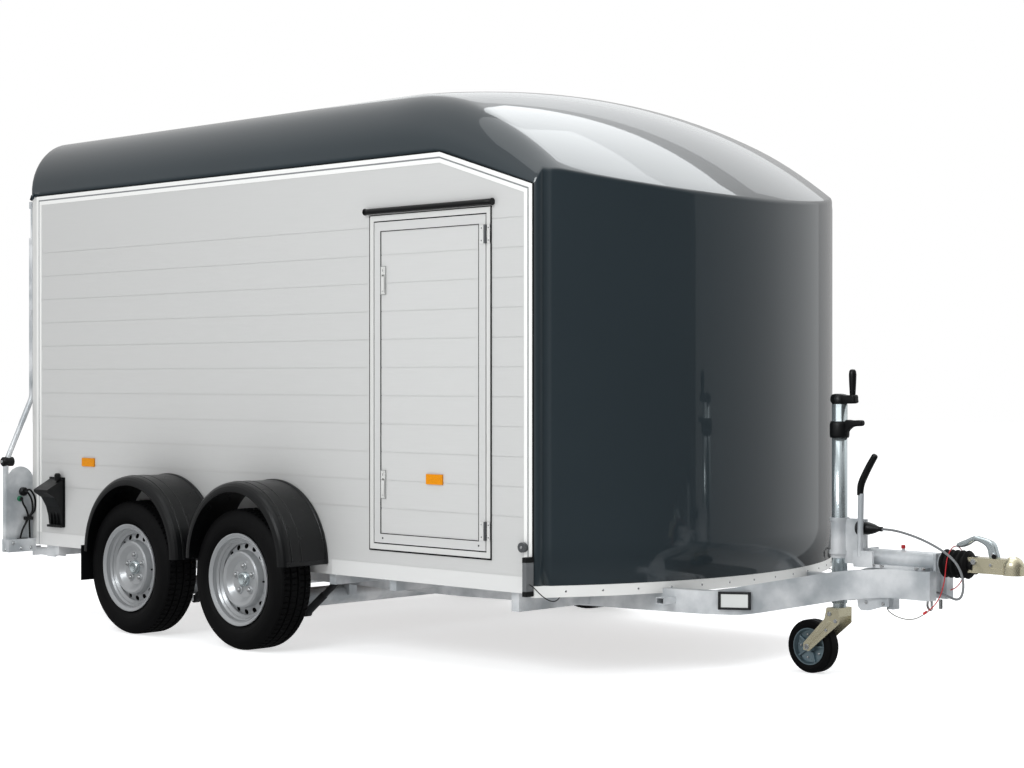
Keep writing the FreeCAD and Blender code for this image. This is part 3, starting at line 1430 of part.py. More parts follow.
def handbrake():
    """Bracket beside the housing, a plain tube and a cranked grip on its end."""
    pivot_x = f"({HOUSING_REAR} + 5)"
    base = DRAWBAR_TOP
    bracket = block(
        "LeverBracket", (f"{pivot_x} - 25", f"{pivot_x} + 60"), ("-beam_front_out", "-beam_front_out + 12"), (base, f"{base} + 62")
    )
    x = mm(pivot_x)
    y = mm("-beam_front_out + 6")
    low = mm(base) + 40
    foot = Vector(x + 1, y, low)
    bend = Vector(x + 7, y, low + 270)
    end = Vector(x + 75, y, low + 385)
    along = (bend - foot).normalize()
    split = foot + along * 237
    tube = Part.makeCylinder(11, (split - foot).Length, foot, along)
    start = Part.Wire(Part.makeCircle(14, split, along))
    grip = Part.Wire(tangent_path([split, bend, end], [60])).makePipeShell([start], True, True)
    node(join("LeverSet", [bracket, shaped("LeverTube", tube)]), "handbrake_lever")
    node(shaped("LeverGrip", grip), "lever_grip")


PLUG_Y = "-36"
PLUG_Z = "577"


def plug_holder():
    """Socket on a lug of the jockey clamp, with the parked plug in it."""
    lug = block("HolderLug", (f"{HOUSING_REAR} - 26", f"{HOUSING_REAR} - 16"), (f"{PLUG_Y} + 10", "-8"), (f"{PLUG_Z} - 14", f"{PLUG_Z} + 14"))
    socket = rod("HolderSocket", (f"{HOUSING_REAR} - 26", PLUG_Y, PLUG_Z), "x", "26.5", "18")
    node(join("Holder", [lug, socket]), "plug_holder")
    plug = turned("Plug", [("0", "0"), ("24", "0"), ("24", "28"), ("18", "52"), ("9", "74"), ("9", "88"), ("0", "88")])
    plug.Placement = FreeCAD.Placement(Vector(), Rotation(Vector(0, 0, 1), -90))
    bind(plug, "Placement.Base.y", PLUG_Y)
    bind(plug, "Placement.Base.z", PLUG_Z)
    node(plug, "cable_plug", f"{HOUSING_REAR} - 8")


# Jockey wheel: clamp, sliding tube with crank, sliding leg, swivelling fork and wheel.
def jockey():
    ring_radius = "(jockey_tube + pin_play + clamp_wall)"
    hole = rod("ClampHole", (JOCKEY_X, "0", "300"), "z", "jockey_tube + pin_play", "500")
    plate = block("ClampPlate", (JOCKEY_X, HOUSING_REAR), ("-8", "8"), ("436", HOUSING_TOP))
    wing = block("ClampWing", (JOCKEY_X, f"{HOUSING_REAR} - 14"), ("-8", "8"), (HOUSING_TOP, "608"))
    sleeve = rod("ClampSleeve", (JOCKEY_X, "0", "470"), "z", f"{ring_radius} - 4", "140")
    rings = [
        rod(f"ClampRing{index}", (JOCKEY_X, "0", height), "z", ring_radius, "14")
        for index, height in enumerate(("470", "596"))
    ]
    node(cut("Clamp", join("ClampSolid", [plate, wing, sleeve, *rings]), hole), "jockey_clamp")
    outer = rod("JockeyTube", (JOCKEY_X, "0", "jockey_foot"), "z", "jockey_tube", "jockey_top - jockey_foot")
    bore = rod("JockeyBore", (JOCKEY_X, "0", "jockey_foot - 1"), "z", "jockey_leg + pin_play", "jockey_top - jockey_foot - 10")
    node(cut("JockeyTubeBored", outer, bore), "jockey_tube")
    hub = rod("CrankHub", (JOCKEY_X, "0", "jockey_top"), "z", "jockey_tube", "38")
    arm = block("CrankArm", (JOCKEY_X, f"{JOCKEY_X} + 74"), ("-14", "14"), ("jockey_top + 4", "jockey_top + 36"))
    grip = rod("CrankGrip", (f"{JOCKEY_X} + 60", "0", "jockey_top + 30"), "z", "15", "104")
    collar = rod("TubeCollar", (JOCKEY_X, "0", "jockey_top - 129"), "z", "jockey_tube + 8", "63")
    collar_hole = rod("CollarHole", (JOCKEY_X, "0", "jockey_top - 160"), "z", "jockey_tube", "120")
    tab = block("CollarTab", (f"{JOCKEY_X} + jockey_tube", f"{JOCKEY_X} + 108"), ("-11", "11"), ("jockey_top - 87", "jockey_top - 62"))
    ring = cut("CollarRing", join("CollarSolid", [collar, tab]), collar_hole)
    node(group("Crank", [join("CrankSet", [hub, arm, grip]), ring]), "jockey_crank")
    leg = rod("Leg", (JOCKEY_X, "0", "jockey_foot - 16"), "z", "jockey_leg", "jockey_top - jockey_foot - 126")
    node(leg, "jockey_leg")
    hub_x = f"({JOCKEY_X} - jockey_trail)"
    cheek = "(jockey_half + 6)"
    head_top = "(jockey_foot - 16 - pin_play)"
    crown = block(
        "ForkCrown", (f"{JOCKEY_X} - 30", f"{JOCKEY_X} + 26"), (f"-{cheek} - 5", f"{cheek} + 5"), (f"{head_top} - 34", head_top)
    )
    pieces = [crown]
    for side, sign in SIDES:
        low, high = across(sign, cheek, f"{cheek} + 5")
        pieces.append(padded(
            f"ForkCheek_{side}",
            "XZ_Plane",
            [
                (f"{hub_x} - 16", "jockey_wheel - 12"),
                (f"{hub_x} + 10", "jockey_wheel - 16"),
                (f"{JOCKEY_X} + 26", f"{head_top} - 60"),
                (f"{JOCKEY_X} + 26", head_top),
                (f"{JOCKEY_X} - 30", head_top),
                (f"{JOCKEY_X} - 40", f"{head_top} - 44"),
                (f"{hub_x} - 16", "jockey_wheel + 14"),
            ],
            f"-({high})",
            "5",
        ))
    pin = rod("JockeyAxle", (hub_x, f"-{cheek} - 8", "jockey_wheel"), "y", "7", f"2 * {cheek} + 16")
    node(join("Fork", [*pieces, pin]), "jockey_fork")
    tyre = turned("JockeyTyre", [
        ("72", "-jockey_half + 2"),
        ("86", "-jockey_half"),
        ("jockey_wheel - 5", "-jockey_half + 5"),
        ("jockey_wheel", "-jockey_half + 13"),
        ("jockey_wheel", "jockey_half - 13"),
        ("jockey_wheel - 5", "jockey_half - 5"),
        ("86", "jockey_half"),
        ("72", "jockey_half - 2"),
    ])
    rim = turned("JockeyRim", [
        ("7.05", "-jockey_half + 1"),
        ("20", "-jockey_half + 1"),
        ("24", "-10"),
        ("62", "-14"),
        ("68", "-jockey_half + 1"),
        ("71.7", "-jockey_half + 1"),
        ("71.7", "jockey_half - 1"),
        ("68", "jockey_half - 1"),
        ("62", "14"),
        ("24", "10"),
        ("20", "jockey_half - 1"),
        ("7.05", "jockey_half - 1"),
    ])
    for thing in (tyre, rim):
        bind(thing, "Placement.Base.z", "jockey_wheel")
    node(tyre, "jockey_tyre", hub_x)
    node(rim, "jockey_rim", hub_x)


# Cords. Each route is a list of places chosen by hand, X from the wall, Y and Z in the row's frame.
CORDS = (
    ("plug_cable", "cable_radius", (
        (4488, 0, 352), (4514, -2, 350), (4543, -9, 344), (4574, -23, 338), (4605, -42, 336),
        (4634, -62, 345), (4654, -79, 367), (4664, -90, 400), (4660, -96, 438), (4640, -97, 474),
        (4602, -92, 503), (4548, -80, 526), (4486, -68, 547), (4420, -56, 563), (4362, -46, 573),
        (4314, -36, 577), (4280, -36, 577),
    )),
    ("breakaway_cable", "wire_radius", (
        (4302, -20, 286), (4303, -34, 284), (4312, -48, 277), (4333, -56, 266), (4363, -61, 256),
        (4398, -65, 250), (4433, -69, 252), (4464, -75, 262), (4492, -81, 277), (4519, -85, 295),
        (4544, -87, 318), (4564, -87, 347), (4576, -85, 383), (4581, -81, 421), (4581, -75, 459),
        (4579, -61, 494), (4577, -36, 519), (4575, -5, 530), (4574, 27, 524), (4573, 54, 503),
        (4571, 70, 472), (4567, 76, 437), (4559, 76, 403), (4544, 72, 376), (4522, 64, 358),
        (4490, 54, 350),
    )),
    ("marker_wire_right", "wire_radius", (
        (3353, -988, 372), (3366, -986, 367), (3378, -979, 353), (3388, -966, 336), (3398, -945, 318),
        (3401, -918, 307), (3398, -890, 306), (3392, -866, 315), (3388, -853, 327), (3387, -848, 338),
    )),
    ("marker_wire_left", "wire_radius", (
        (3353, 988, 372), (3366, 986, 367), (3378, 979, 353), (3388, 966, 336), (3398, 945, 318),
        (3401, 918, 307), (3398, 890, 306), (3392, 866, 315), (3388, 853, 327), (3387, 848, 338),
    )),
)


def cord(label, radius, places):
    points = [Vector(*place) for place in places]
    radii = []
    for before, corner, after in zip(points, points[1:], points[2:]):
        back = before - corner
        ahead = after - corner
        half_turn = (math.pi - back.getAngle(ahead)) / 2
        radii.append(0.45 * min(back.Length, ahead.Length) / math.tan(half_turn))
    print(label, "arc radii", [round(value) for value in radii])
    path = Part.Wire(tangent_path(points, radii))
    start = Part.Wire(Part.makeCircle(mm(radius), points[0], points[1] - points[0]))
    tube = path.makePipeShell([start], True, True)
    expected = math.pi * mm(radius) ** 2 * path.Length
    print(label, "length", round(path.Length), "volume ratio", round(tube.Volume / expected, 4))
    node(shaped(label, tube), label)


for side, sign in SIDES:
    side_wall(side, sign)
wall_trims()
door_frame()
side_door()
door_latches()
door_catch()
door_hinges()
rain_rail()
body_shell()
floor_deck()
beams = {side: chassis_beam(side, sign) for side, sign in SIDES}
front_skirt(beams.values())
rear_ramp(rear_portal())
chassis(beams)
for label, hub in AXLES:
    axle(label, hub)
shock_absorbers()
for label, hub in AXLES:
    for side, sign in SIDES:
        road_wheel(label, hub, side, sign)
for side, sign in SIDES:
    mudguards(side, sign)
wheel_chocks()
reflectors()
marker_lamps()
beam_reflectors()
rear_corners()
prop_stands()
overrun_housing(beams["right"])
bellows()
coupling_head()
handbrake()
plug_holder()
jockey()
for label, radius, places in CORDS:
    cord(label, radius, places)

doc.recompute()
faults = [thing.Label for thing in doc.Objects if {"Invalid", "Error"} & set(thing.State)]
for thing in nodes:
    if thing.Shape.isNull() or not thing.Shape.isValid():
        faults.append(thing.Label)
if faults:
    sys.exit(f"faulty: {sorted(set(faults))}")
for thing in nodes:
    thing.Shape.exportStep(f"parts/{thing.Label}.step")
box = Part.makeCompound([thing.Shape for thing in nodes]).BoundBox
print(len(nodes), "nodes, box", box)
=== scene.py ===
"""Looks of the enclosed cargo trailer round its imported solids, in metres; +X forwards, +Y left, +Z up."""
import fnmatch
import json
from math import asin, cos, hypot, pi, radians, sin, sqrt, tan

import bmesh
import bpy
from mathutils import Matrix, Vector

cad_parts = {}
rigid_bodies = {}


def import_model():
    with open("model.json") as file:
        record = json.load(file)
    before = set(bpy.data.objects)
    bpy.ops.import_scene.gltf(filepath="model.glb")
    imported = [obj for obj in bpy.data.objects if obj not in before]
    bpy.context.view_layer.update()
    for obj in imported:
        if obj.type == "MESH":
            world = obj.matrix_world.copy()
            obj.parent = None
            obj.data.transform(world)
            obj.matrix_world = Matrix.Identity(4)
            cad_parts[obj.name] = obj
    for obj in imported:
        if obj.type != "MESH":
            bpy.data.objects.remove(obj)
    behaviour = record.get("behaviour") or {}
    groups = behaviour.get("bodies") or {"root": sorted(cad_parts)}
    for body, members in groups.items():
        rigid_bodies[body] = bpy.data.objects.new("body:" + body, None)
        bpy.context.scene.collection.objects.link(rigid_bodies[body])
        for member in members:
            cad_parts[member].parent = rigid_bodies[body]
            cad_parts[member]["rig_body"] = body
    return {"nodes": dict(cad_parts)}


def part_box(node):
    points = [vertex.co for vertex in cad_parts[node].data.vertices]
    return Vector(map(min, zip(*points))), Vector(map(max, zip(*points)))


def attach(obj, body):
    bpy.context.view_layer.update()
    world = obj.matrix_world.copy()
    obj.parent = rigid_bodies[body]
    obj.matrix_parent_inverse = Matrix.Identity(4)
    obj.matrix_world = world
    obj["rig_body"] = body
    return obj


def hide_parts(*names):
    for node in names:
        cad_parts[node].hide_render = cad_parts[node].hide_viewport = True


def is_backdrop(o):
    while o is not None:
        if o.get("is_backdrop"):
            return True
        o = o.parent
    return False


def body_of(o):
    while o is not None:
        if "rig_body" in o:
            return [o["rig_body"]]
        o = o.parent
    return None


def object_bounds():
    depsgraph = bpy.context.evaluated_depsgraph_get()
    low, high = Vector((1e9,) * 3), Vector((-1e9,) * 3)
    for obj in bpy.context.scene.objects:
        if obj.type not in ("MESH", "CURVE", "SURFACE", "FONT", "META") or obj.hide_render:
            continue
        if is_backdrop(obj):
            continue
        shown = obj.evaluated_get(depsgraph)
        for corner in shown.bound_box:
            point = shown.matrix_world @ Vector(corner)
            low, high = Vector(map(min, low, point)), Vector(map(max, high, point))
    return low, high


MM = 0.001

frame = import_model()
cad_low, cad_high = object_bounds()
nodes = frame["nodes"]
scene = bpy.context.scene


def linked(name, data):
    """New object in the scene."""
    made = bpy.data.objects.new(name, data)
    scene.collection.objects.link(made)
    return made


# Camera of the photograph, placed from the body's box and the ground
SENSOR = 36.0
FOCAL_LENGTH = 71.37
CAMERA_AHEAD = 3.7355
CAMERA_RIGHT = 6.497
CAMERA_HEIGHT = 1.1425
CAMERA_YAW = 44.045
CAMERA_PITCH = -0.141

camera_data = bpy.data.cameras.new("photo_camera")
camera_data.sensor_width = SENSOR
camera_data.lens = FOCAL_LENGTH
camera = linked("photo_camera", camera_data)
camera.location = (cad_high.x + CAMERA_AHEAD, -CAMERA_RIGHT, CAMERA_HEIGHT)
camera.rotation_euler = (radians(90 + CAMERA_PITCH), 0, radians(CAMERA_YAW))
scene.camera = camera


# Materials
def linear(red, green, blue):
    """Colour on a 0 to 255 display scale as scene-linear values."""
    def channel(value):
        share = value / 255
        return share / 12.92 if share <= 0.04045 else ((share + 0.055) / 1.055) ** 2.4

    return (channel(red), channel(green), channel(blue), 1.0)


def shade(colour, factor):
    return tuple(min(1.0, part * factor) for part in colour[:3]) + (1.0,)


def grey(value):
    return (value, value, value, 1.0)


def remapped(tree, value, ends, reach=(0.0, 1.0)):
    """Value taken from its own reach to new ends."""
    node = tree.nodes.new("ShaderNodeMapRange")
    for socket, number in zip(("From Min", "From Max", "To Min", "To Max"), (*reach, *ends)):
        node.inputs[socket].default_value = number
    tree.links.new(value, node.inputs["Value"])
    return node.outputs["Result"]


def ramped(tree, factor, stops):
    """Colour over (place, colour) stops."""
    ramp = tree.nodes.new("ShaderNodeValToRGB")
    elements = ramp.color_ramp.elements
    while len(elements) < len(stops):
        elements.new(0.5)
    for element, (place, colour) in zip(elements, stops):
        element.position = place
        element.color = colour
    tree.links.new(factor, ramp.inputs["Fac"])
    return ramp.outputs["Color"]


COAT_ROUGHNESS = 0.03


class Finish:
    """One procedural material and helpers to drive it."""

    def __init__(self, name, colour, roughness, metallic=0.0, coat=0.0, specular=0.5):
        self.material = bpy.data.materials.new(name)
        self.material.use_nodes = True
        self.tree = self.material.node_tree
        self.shader = self.tree.nodes["Principled BSDF"]
        self.coordinates = self.tree.nodes.new("ShaderNodeTexCoord").outputs["Object"]
        self.set("Base Color", colour)
        self.set("Roughness", roughness)
        self.set("Metallic", metallic)
        self.set("Coat Weight", coat)
        self.set("Coat Roughness", COAT_ROUGHNESS)
        self.set("Specular IOR Level", specular)

    def set(self, socket, value):
        self.shader.inputs[socket].default_value = value

    def link(self, output, target):
        self.tree.links.new(output, target)

    def texture(self, kind, scale, stretch=(1, 1, 1)):
        mapping = self.tree.nodes.new("ShaderNodeMapping")
        mapping.inputs["Scale"].default_value = stretch
        self.link(self.coordinates, mapping.inputs["Vector"])
        made = self.tree.nodes.new(kind)
        made.inputs["Scale"].default_value = scale
        self.link(mapping.outputs["Vector"], made.inputs["Vector"])
        return made

    def noise(self, scale, detail=3.0, stretch=(1, 1, 1)):
        made = self.texture("ShaderNodeTexNoise", scale, stretch)
        made.inputs["Detail"].default_value = detail
        return made.outputs["Fac"]

    def cells(self, scale, output="Distance"):
        return self.texture("ShaderNodeTexVoronoi", scale).outputs[output]

    def tint(self, factor, low, high, start=0.3, end=0.7):
        """Base colour runs from low to high with a texture."""
        colour = ramped(self.tree, factor, [(start, low), (end, high)])
        self.link(colour, self.shader.inputs["Base Color"])

    def rough(self, factor, low, high):
        self.link(remapped(self.tree, factor, (low, high)), self.shader.inputs["Roughness"])

    def bump(self, factor, strength, distance):
        node = self.tree.nodes.new("ShaderNodeBump")
        node.inputs["Strength"].default_value = strength
        node.inputs["Distance"].default_value = distance
        self.link(factor, node.inputs["Height"])
        self.link(node.outputs["Normal"], self.shader.inputs["Normal"])


DRIFT_SCALE = 4.0
DRIFT_DETAIL = 4.0
WEAR_SCALE = 30.0
WEAR_DETAIL = 5.0
WEAR = 0.08
LEAST_ROUGHNESS = 0.03
GRAIN_STRENGTH = 0.35


def speckled(name, colour, roughness, metallic, grain, depth, spread=0.12, coat=0.0, specular=0.5):
    """A surface with a fine grain and a slight drift of tone."""
    finish = Finish(name, colour, roughness, metallic, coat, specular)
    drift = finish.noise(DRIFT_SCALE, DRIFT_DETAIL)
    finish.tint(drift, shade(colour, 1 - spread), shade(colour, 1 + spread))
    wear = finish.noise(WEAR_SCALE, WEAR_DETAIL)
    finish.rough(wear, max(roughness - WEAR, LEAST_ROUGHNESS), roughness + WEAR)
    finish.bump(finish.noise(grain), GRAIN_STRENGTH, depth)
    return finish


SHEET_METALLIC = 0.12
STREAK_STRETCH = 40.0


def brushed_panel(name, colour, metallic, roughness, along):
    """Rolled sheet: faint streaks along one direction."""
    finish = Finish(name, colour, roughness, metallic)
    stretch = tuple(1.0 if axis == along else STREAK_STRETCH for axis in "xyz")
    streaks = finish.noise(6.0, 6.0, stretch)
    finish.tint(streaks, shade(colour, 0.988), shade(colour, 1.008), 0.35, 0.65)
    finish.rough(streaks, roughness - 0.05, roughness + 0.06)
    finish.bump(streaks, 0.03, 0.0002)
    return finish


def lens(name, colour):
    """Moulded reflector: small prisms under a clear skin."""
    finish = Finish(name, colour, 0.30, 0.0, 0.05, 0.15)
    prisms = finish.cells(320.0)
    finish.tint(prisms, shade(colour, 0.7), shade(colour, 1.05), 0.1, 0.6)
    finish.bump(prisms, 0.5, 0.0006)
    return finish


TONE_BLEND = 0.002


def two_tone(name, low_colour, high_colour, height):
    """One colour below a height and another above it."""
    finish = Finish(name, low_colour, 0.4)
    split = finish.tree.nodes.new("ShaderNodeSeparateXYZ")
    finish.link(finish.coordinates, split.inputs["Vector"])
    reach = (height - TONE_BLEND, height + TONE_BLEND)
    finish.tint(remapped(finish.tree, split.outputs["Z"], (0.0, 1.0), reach), low_colour, high_colour)
    return finish


# Zinc with soft clouds and fine spangles
GALVANISED = Finish("galvanised_steel", linear(200, 203, 206), 0.40, 0.35)
GALVANISED.tint(GALVANISED.noise(7.0, 6.0), linear(172, 177, 181), linear(222, 224, 226), 0.38, 0.66)
GALVANISED.rough(GALVANISED.cells(190.0, "Color"), 0.28, 0.50)
GALVANISED.bump(GALVANISED.noise(220.0), 0.25, 0.0004)

# Deep grey moulding under a clear coat
SHELL_GREY = linear(38, 47, 52)
SHELL = Finish("shell_gloss", SHELL_GREY, 0.30, 0.0, 1.0, 0.2)
SHELL.tint(SHELL.noise(1.2, 2.0), shade(SHELL_GREY, 0.95), shade(SHELL_GREY, 1.05))
SHELL.bump(SHELL.noise(120.0, 2.0), 0.015, 0.0004)

WALL = brushed_panel("wall_sheet", linear(195, 195, 194), SHEET_METALLIC, 0.40, "x")
DOOR = brushed_panel("door_sheet", linear(198, 198, 197), SHEET_METALLIC, 0.40, "x")
FRAME_METAL = brushed_panel("frame_profile", linear(208, 208, 206), 0.15, 0.34, "z")
TRIM = speckled("trim_cream", linear(226, 226, 224), 0.34, 0.0, 300.0, 0.0002, 0.02)
# Grey painted shade in the groove along the wall trims
TRIM_GROOVE_SHADE = speckled("trim_groove", linear(126, 128, 130), 0.5, 0.0, 300.0, 0.0002, 0.02)
GUARD_PLASTIC = speckled("guard_plastic", linear(12, 13, 14), 0.30, 0.0, 700.0, 0.0004, 0.1, 0.0, 0.30)
BLACK_PLASTIC = speckled("black_plastic", linear(12, 13, 14), 0.40, 0.0, 500.0, 0.0003, 0.12, 0.0, 0.3)
# Black for seals and bellows; also painted shade in the rim vents and painted shadow at the door seal's
# edges
RUBBER_AND_SHADE = speckled("rubber", linear(12, 12, 13), 0.62, 0.0, 260.0, 0.0004, 0.15, 0.0, 0.2)
TYRE_RUBBER = speckled("tyre_rubber", linear(8, 8, 9), 0.62, 0.0, 420.0, 0.0004, 0.14, 0.0, 0.12)
RIM_PAINT = speckled("rim_paint", linear(164, 166, 168), 0.34, 0.45, 500.0, 0.0001, 0.04, 0.4)
# Dark steel; also painted shade in the latches' slots
DARK_STEEL_AND_SHADE = speckled("dark_steel", linear(40, 41, 43), 0.4, 0.3, 300.0, 0.0003)
ZINC_YELLOW = speckled("zinc_yellow", linear(226, 219, 190), 0.24, 0.85, 200.0, 0.0003, 0.10)
BRIGHT_STEEL = speckled("bright_steel", linear(206, 208, 209), 0.26, 0.9, 200.0, 0.0002, 0.05)
POLISHED_ZINC = speckled("polished_zinc", linear(204, 214, 217), 0.18, 0.85, 200.0, 0.0001, 0.05)
BLUE_STEEL = speckled("blue_steel", linear(128, 146, 154), 0.30, 0.8, 260.0, 0.0002, 0.14)
HINGE_STEEL = speckled("hinge_steel", linear(96, 98, 100), 0.40, 0.6, 260.0, 0.0002, 0.08)
SMOKED_LENS = speckled("smoked_lens", linear(92, 94, 96), 0.15, 0.0, 300.0, 0.0001, 0.05, 1.0)
GREEN_PLASTIC = speckled("green_plastic", linear(10, 112, 74), 0.45, 0.0, 300.0, 0.0002, 0.05)
AMBER = lens("amber_lens", linear(214, 134, 1))
WHITE_LENS = speckled("white_lens", linear(206, 208, 206), 0.20, 0.0, 300.0, 0.0001, 0.03, 1.0)
RED = lens("red_lens", linear(196, 24, 22))
RED_CABLE = speckled("red_cable", linear(176, 22, 30), 0.4, 0.0, 600.0, 0.0001)
STOP_CABLE_SKIN = two_tone("stop_cable_skin", linear(120, 118, 112), linear(176, 22, 30), 0.290)
GREY_CABLE = speckled("grey_cable", linear(112, 114, 116), 0.45, 0.0, 600.0, 0.0001)
EDGE_TRIM = two_tone("edge_trim", linear(206, 206, 205), linear(226, 226, 224), 0.396)

# Brown film with a woven print
PLYWOOD = Finish("floor_film", linear(74, 52, 38), 0.5)
PLYWOOD.tint(PLYWOOD.noise(3.0, 5.0, (1, 8, 1)), linear(58, 40, 30), linear(88, 64, 47))
PLYWOOD.bump(PLYWOOD.cells(150.0), 0.3, 0.0005)

# Looks of the solids; a star stands for any part of a name
NODE_FINISHES = (
    (WALL, "side_wall_* ramp_panel"),
    (DOOR, "side_door_leaf"),
    (FRAME_METAL, "door_frame rear_portal door_latches"),
    (TRIM, "front_skirt"),
    (EDGE_TRIM, "wall_trims"),
    (SHELL, "body_shell"),
    (PLYWOOD, "floor_deck"),
    (GALVANISED, "chassis_beam_* cross_members axle_* rear_corner_frames prop_stand_* ramp_fittings "
     "jockey_clamp overrun_housing handbrake_lever"),
    (DARK_STEEL_AND_SHADE, "shock_absorbers plug_holder"),
    (ZINC_YELLOW, "coupling_head jockey_fork"),
    (POLISHED_ZINC, "jockey_tube jockey_leg coupling_handle"),
    (BLUE_STEEL, "jockey_rim"),
    (HINGE_STEEL, "door_hinge_* door_catch"),
    (RIM_PAINT, "wheel_*_*"),
    (TYRE_RUBBER, "tyre_* jockey_tyre"),
    (GUARD_PLASTIC, "mudguards_*"),
    (BLACK_PLASTIC, "wheel_chocks jockey_crank lever_grip cable_plug door_rain_rail"),
    (RUBBER_AND_SHADE, "bellows"),
    (AMBER, "door_reflector side_reflectors"),
    (WHITE_LENS, "beam_reflectors"),
    (SMOKED_LENS, "front_marker_lamps"),
    (RED, "rear_lamps"),
)
for finish, patterns in NODE_FINISHES:
    for pattern in patterns.split():
        for name in fnmatch.filter(nodes, pattern):
            nodes[name].data.materials.clear()
            nodes[name].data.materials.append(finish.material)


# Mesh helpers
WELD = 0.00002


def middle(node):
    low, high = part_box(node)
    return (low + high) / 2


def mix(first, second, share):
    return first + (second - first) * share


def turns(count, reach=2 * pi, ends=0):
    """Angles in even steps over a reach; one end more adds the last."""
    return [reach * step / count for step in range(count + ends)]


def add_piece(name, mesh, finish, body="trailer", replaced=(), smooth=True, slot=None):
    """Gives a mesh its look and lets it ride on a body."""
    for face in mesh.polygons:
        face.use_smooth = smooth
    mesh.materials.append(finish.material)
    piece = linked(name, mesh)
    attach(piece, body)
    if replaced:
        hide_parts(*replaced)
    return piece


def baked(name, built):
    """Mesh out of a bmesh, which ends with it."""
    mesh = bpy.data.meshes.new(name)
    built.to_mesh(mesh)
    built.free()
    return mesh


def grid_mesh(name, rows, closed=False, cap=False):
    """Quads over rows of points; closed joins each row's ends."""
    built = bmesh.new()
    lines = [[built.verts.new(point) for point in row] for row in rows]
    for first, second in zip(lines, lines[1:]):
        count = len(first)
        for index in range(count if closed else count - 1):
            after = (index + 1) % count
            built.faces.new((first[index], first[after], second[after], second[index]))
    if cap:
        built.faces.new(lines[0])
        built.faces.new(list(reversed(lines[-1])))
    bmesh.ops.remove_doubles(built, verts=built.verts, dist=WELD)
    bmesh.ops.recalc_face_normals(built, faces=built.faces)
    return baked(name, built)


def add_parts(name, parts, finish, body="trailer", **rest):
    """One piece out of several (mesh, matrix) pairs."""
    built = bmesh.new()
    for mesh, place in parts:
        part = mesh.copy()
        part.transform(place)
        built.from_mesh(part)
        bpy.data.meshes.remove(part)
    add_piece(name, baked(name, built), finish, body, **rest)


def turned_mesh(profile, count=48):
    """Revolves (radius, height) pairs in millimetres about the Z axis."""
    rows = [
        [Vector((radius * cos(turn), radius * sin(turn), height)) * MM for turn in turns(count)]
        for radius, height in profile
    ]
    return grid_mesh("turned", rows, closed=True)


def bevelled_box(size, radius):
    built = bmesh.new()
    bmesh.ops.create_cube(built, size=1.0)
    bmesh.ops.scale(built, vec=size, verts=built.verts)
    bmesh.ops.bevel(built, geom=list(built.edges), offset=radius, segments=2, profile=0.5, affect="EDGES")
    return baked("box", built)


def at(place, direction=(0, 0, 1)):
    """Matrix that takes the origin to a place and +Z to a direction."""
    return Matrix.Translation(place) @ Vector(direction).to_track_quat("Z", "Y").to_matrix().to_4x4()


SHIFT = Vector((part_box("side_wall_right")[0].x, 0, 0))
SIDES = (("right", -1), ("left", 1))


def spot(x, y, z):
    """Millimetres from the wall's rear edge, the centre plane and the ground as a place in the frame."""
    return Vector((x, y, z)) * MM + SHIFT


def rider(node):
    """Body that a solid moves with."""
    return body_of(nodes[node])[0]


def blocks(name, spans, finish, body="trailer", radius=0.6, sign=1):
    """Bevelled blocks, each given by its spans in X, Y and Z in millimetres; the sign mirrors Y."""
    placed = []
    for along, across, up in spans:
        across = [sign * y for y in across]
        low = spot(min(along), min(across), min(up))
        high = spot(max(along), max(across), max(up))
        placed.append((bevelled_box(high - low, radius * MM), Matrix.Translation((low + high) / 2)))
    add_parts(name, placed, finish, body, smooth=False)


HEAD_CHAMFER = 0.25
HEAD_HOLE = 0.02


def head_mesh(radius, rise, sides):
    """Bolt head or button with a small chamfer, in millimetres; many sides make it round."""
    edge = min(radius, rise) * HEAD_CHAMFER
    profile = ((radius, -1), (radius, rise - edge), (radius - edge, rise), (radius * HEAD_HOLE, rise))
    return turned_mesh(profile, sides)


def heads(name, places, finish, body="trailer", sign=1):
    """Heads given by place, direction, radius, rise and number of sides; the sign mirrors Y."""
    placed = [
        (head_mesh(*size), at(spot(x, sign * y, z), (ahead, sign * left, up)))
        for (x, y, z), (ahead, left, up), *size in places
    ]
    add_parts(name, placed, finish, body, smooth=False)


def offset_line(points, distance, closed):
    """Line beside a polyline in the XZ plane, mitred at its corners."""
    count = len(points)
    moved = []
    for index, (x, z) in enumerate(points):
        normals = []
        for start, end in ((index - 1, index), (index, index + 1)):
            if not closed and (start < 0 or end >= count):
                continue
            first = Vector(points[start % count])
            run = (Vector(points[end % count]) - first).normalized()
            normals.append(Vector((-run.y, run.x)))
        mean = sum(normals, Vector((0, 0))).normalized()
        reach = distance / mean.dot(normals[0])
        moved.append((x + mean.x * reach, z + mean.y * reach))
    return moved


def strip(name, points, near, far, faces, finish, body="trailer", closed=True):
    """Flat strip between two lines beside a polyline, from one Y to another."""
    lines = [offset_line(points, distance, closed) for distance in (near, far)]
    corners = ((0, faces[0]), (0, faces[1]), (1, faces[1]), (1, faces[0]), (0, faces[0]))
    rows = [[spot(x, y, z) for x, z in lines[which]] for which, y in corners]
    add_piece(name, grid_mesh(name, rows, closed=closed), finish, body, smooth=False)


def smooth_line(points, steps, closed=False):
    """Points on a curve through the given ones."""
    count = len(points)
    places = [Vector(point) for point in points]
    curve = []
    for index in range(count if closed else count - 1):
        around = [index + step for step in (-1, 0, 1, 2)]
        if not closed:
            around = [min(max(place, 0), count - 1) for place in around]
        before, start, end, after = (places[place % count] for place in around)
        for step in range(steps):
            share = step / steps
            curve.append(0.5 * (
                2 * start + (end - before) * share
                + (2 * before - 5 * start + 4 * end - after) * share ** 2
                + (3 * start - before - 3 * end + after) * share ** 3
            ))
    if not closed:
        curve.append(places[-1])
    return curve


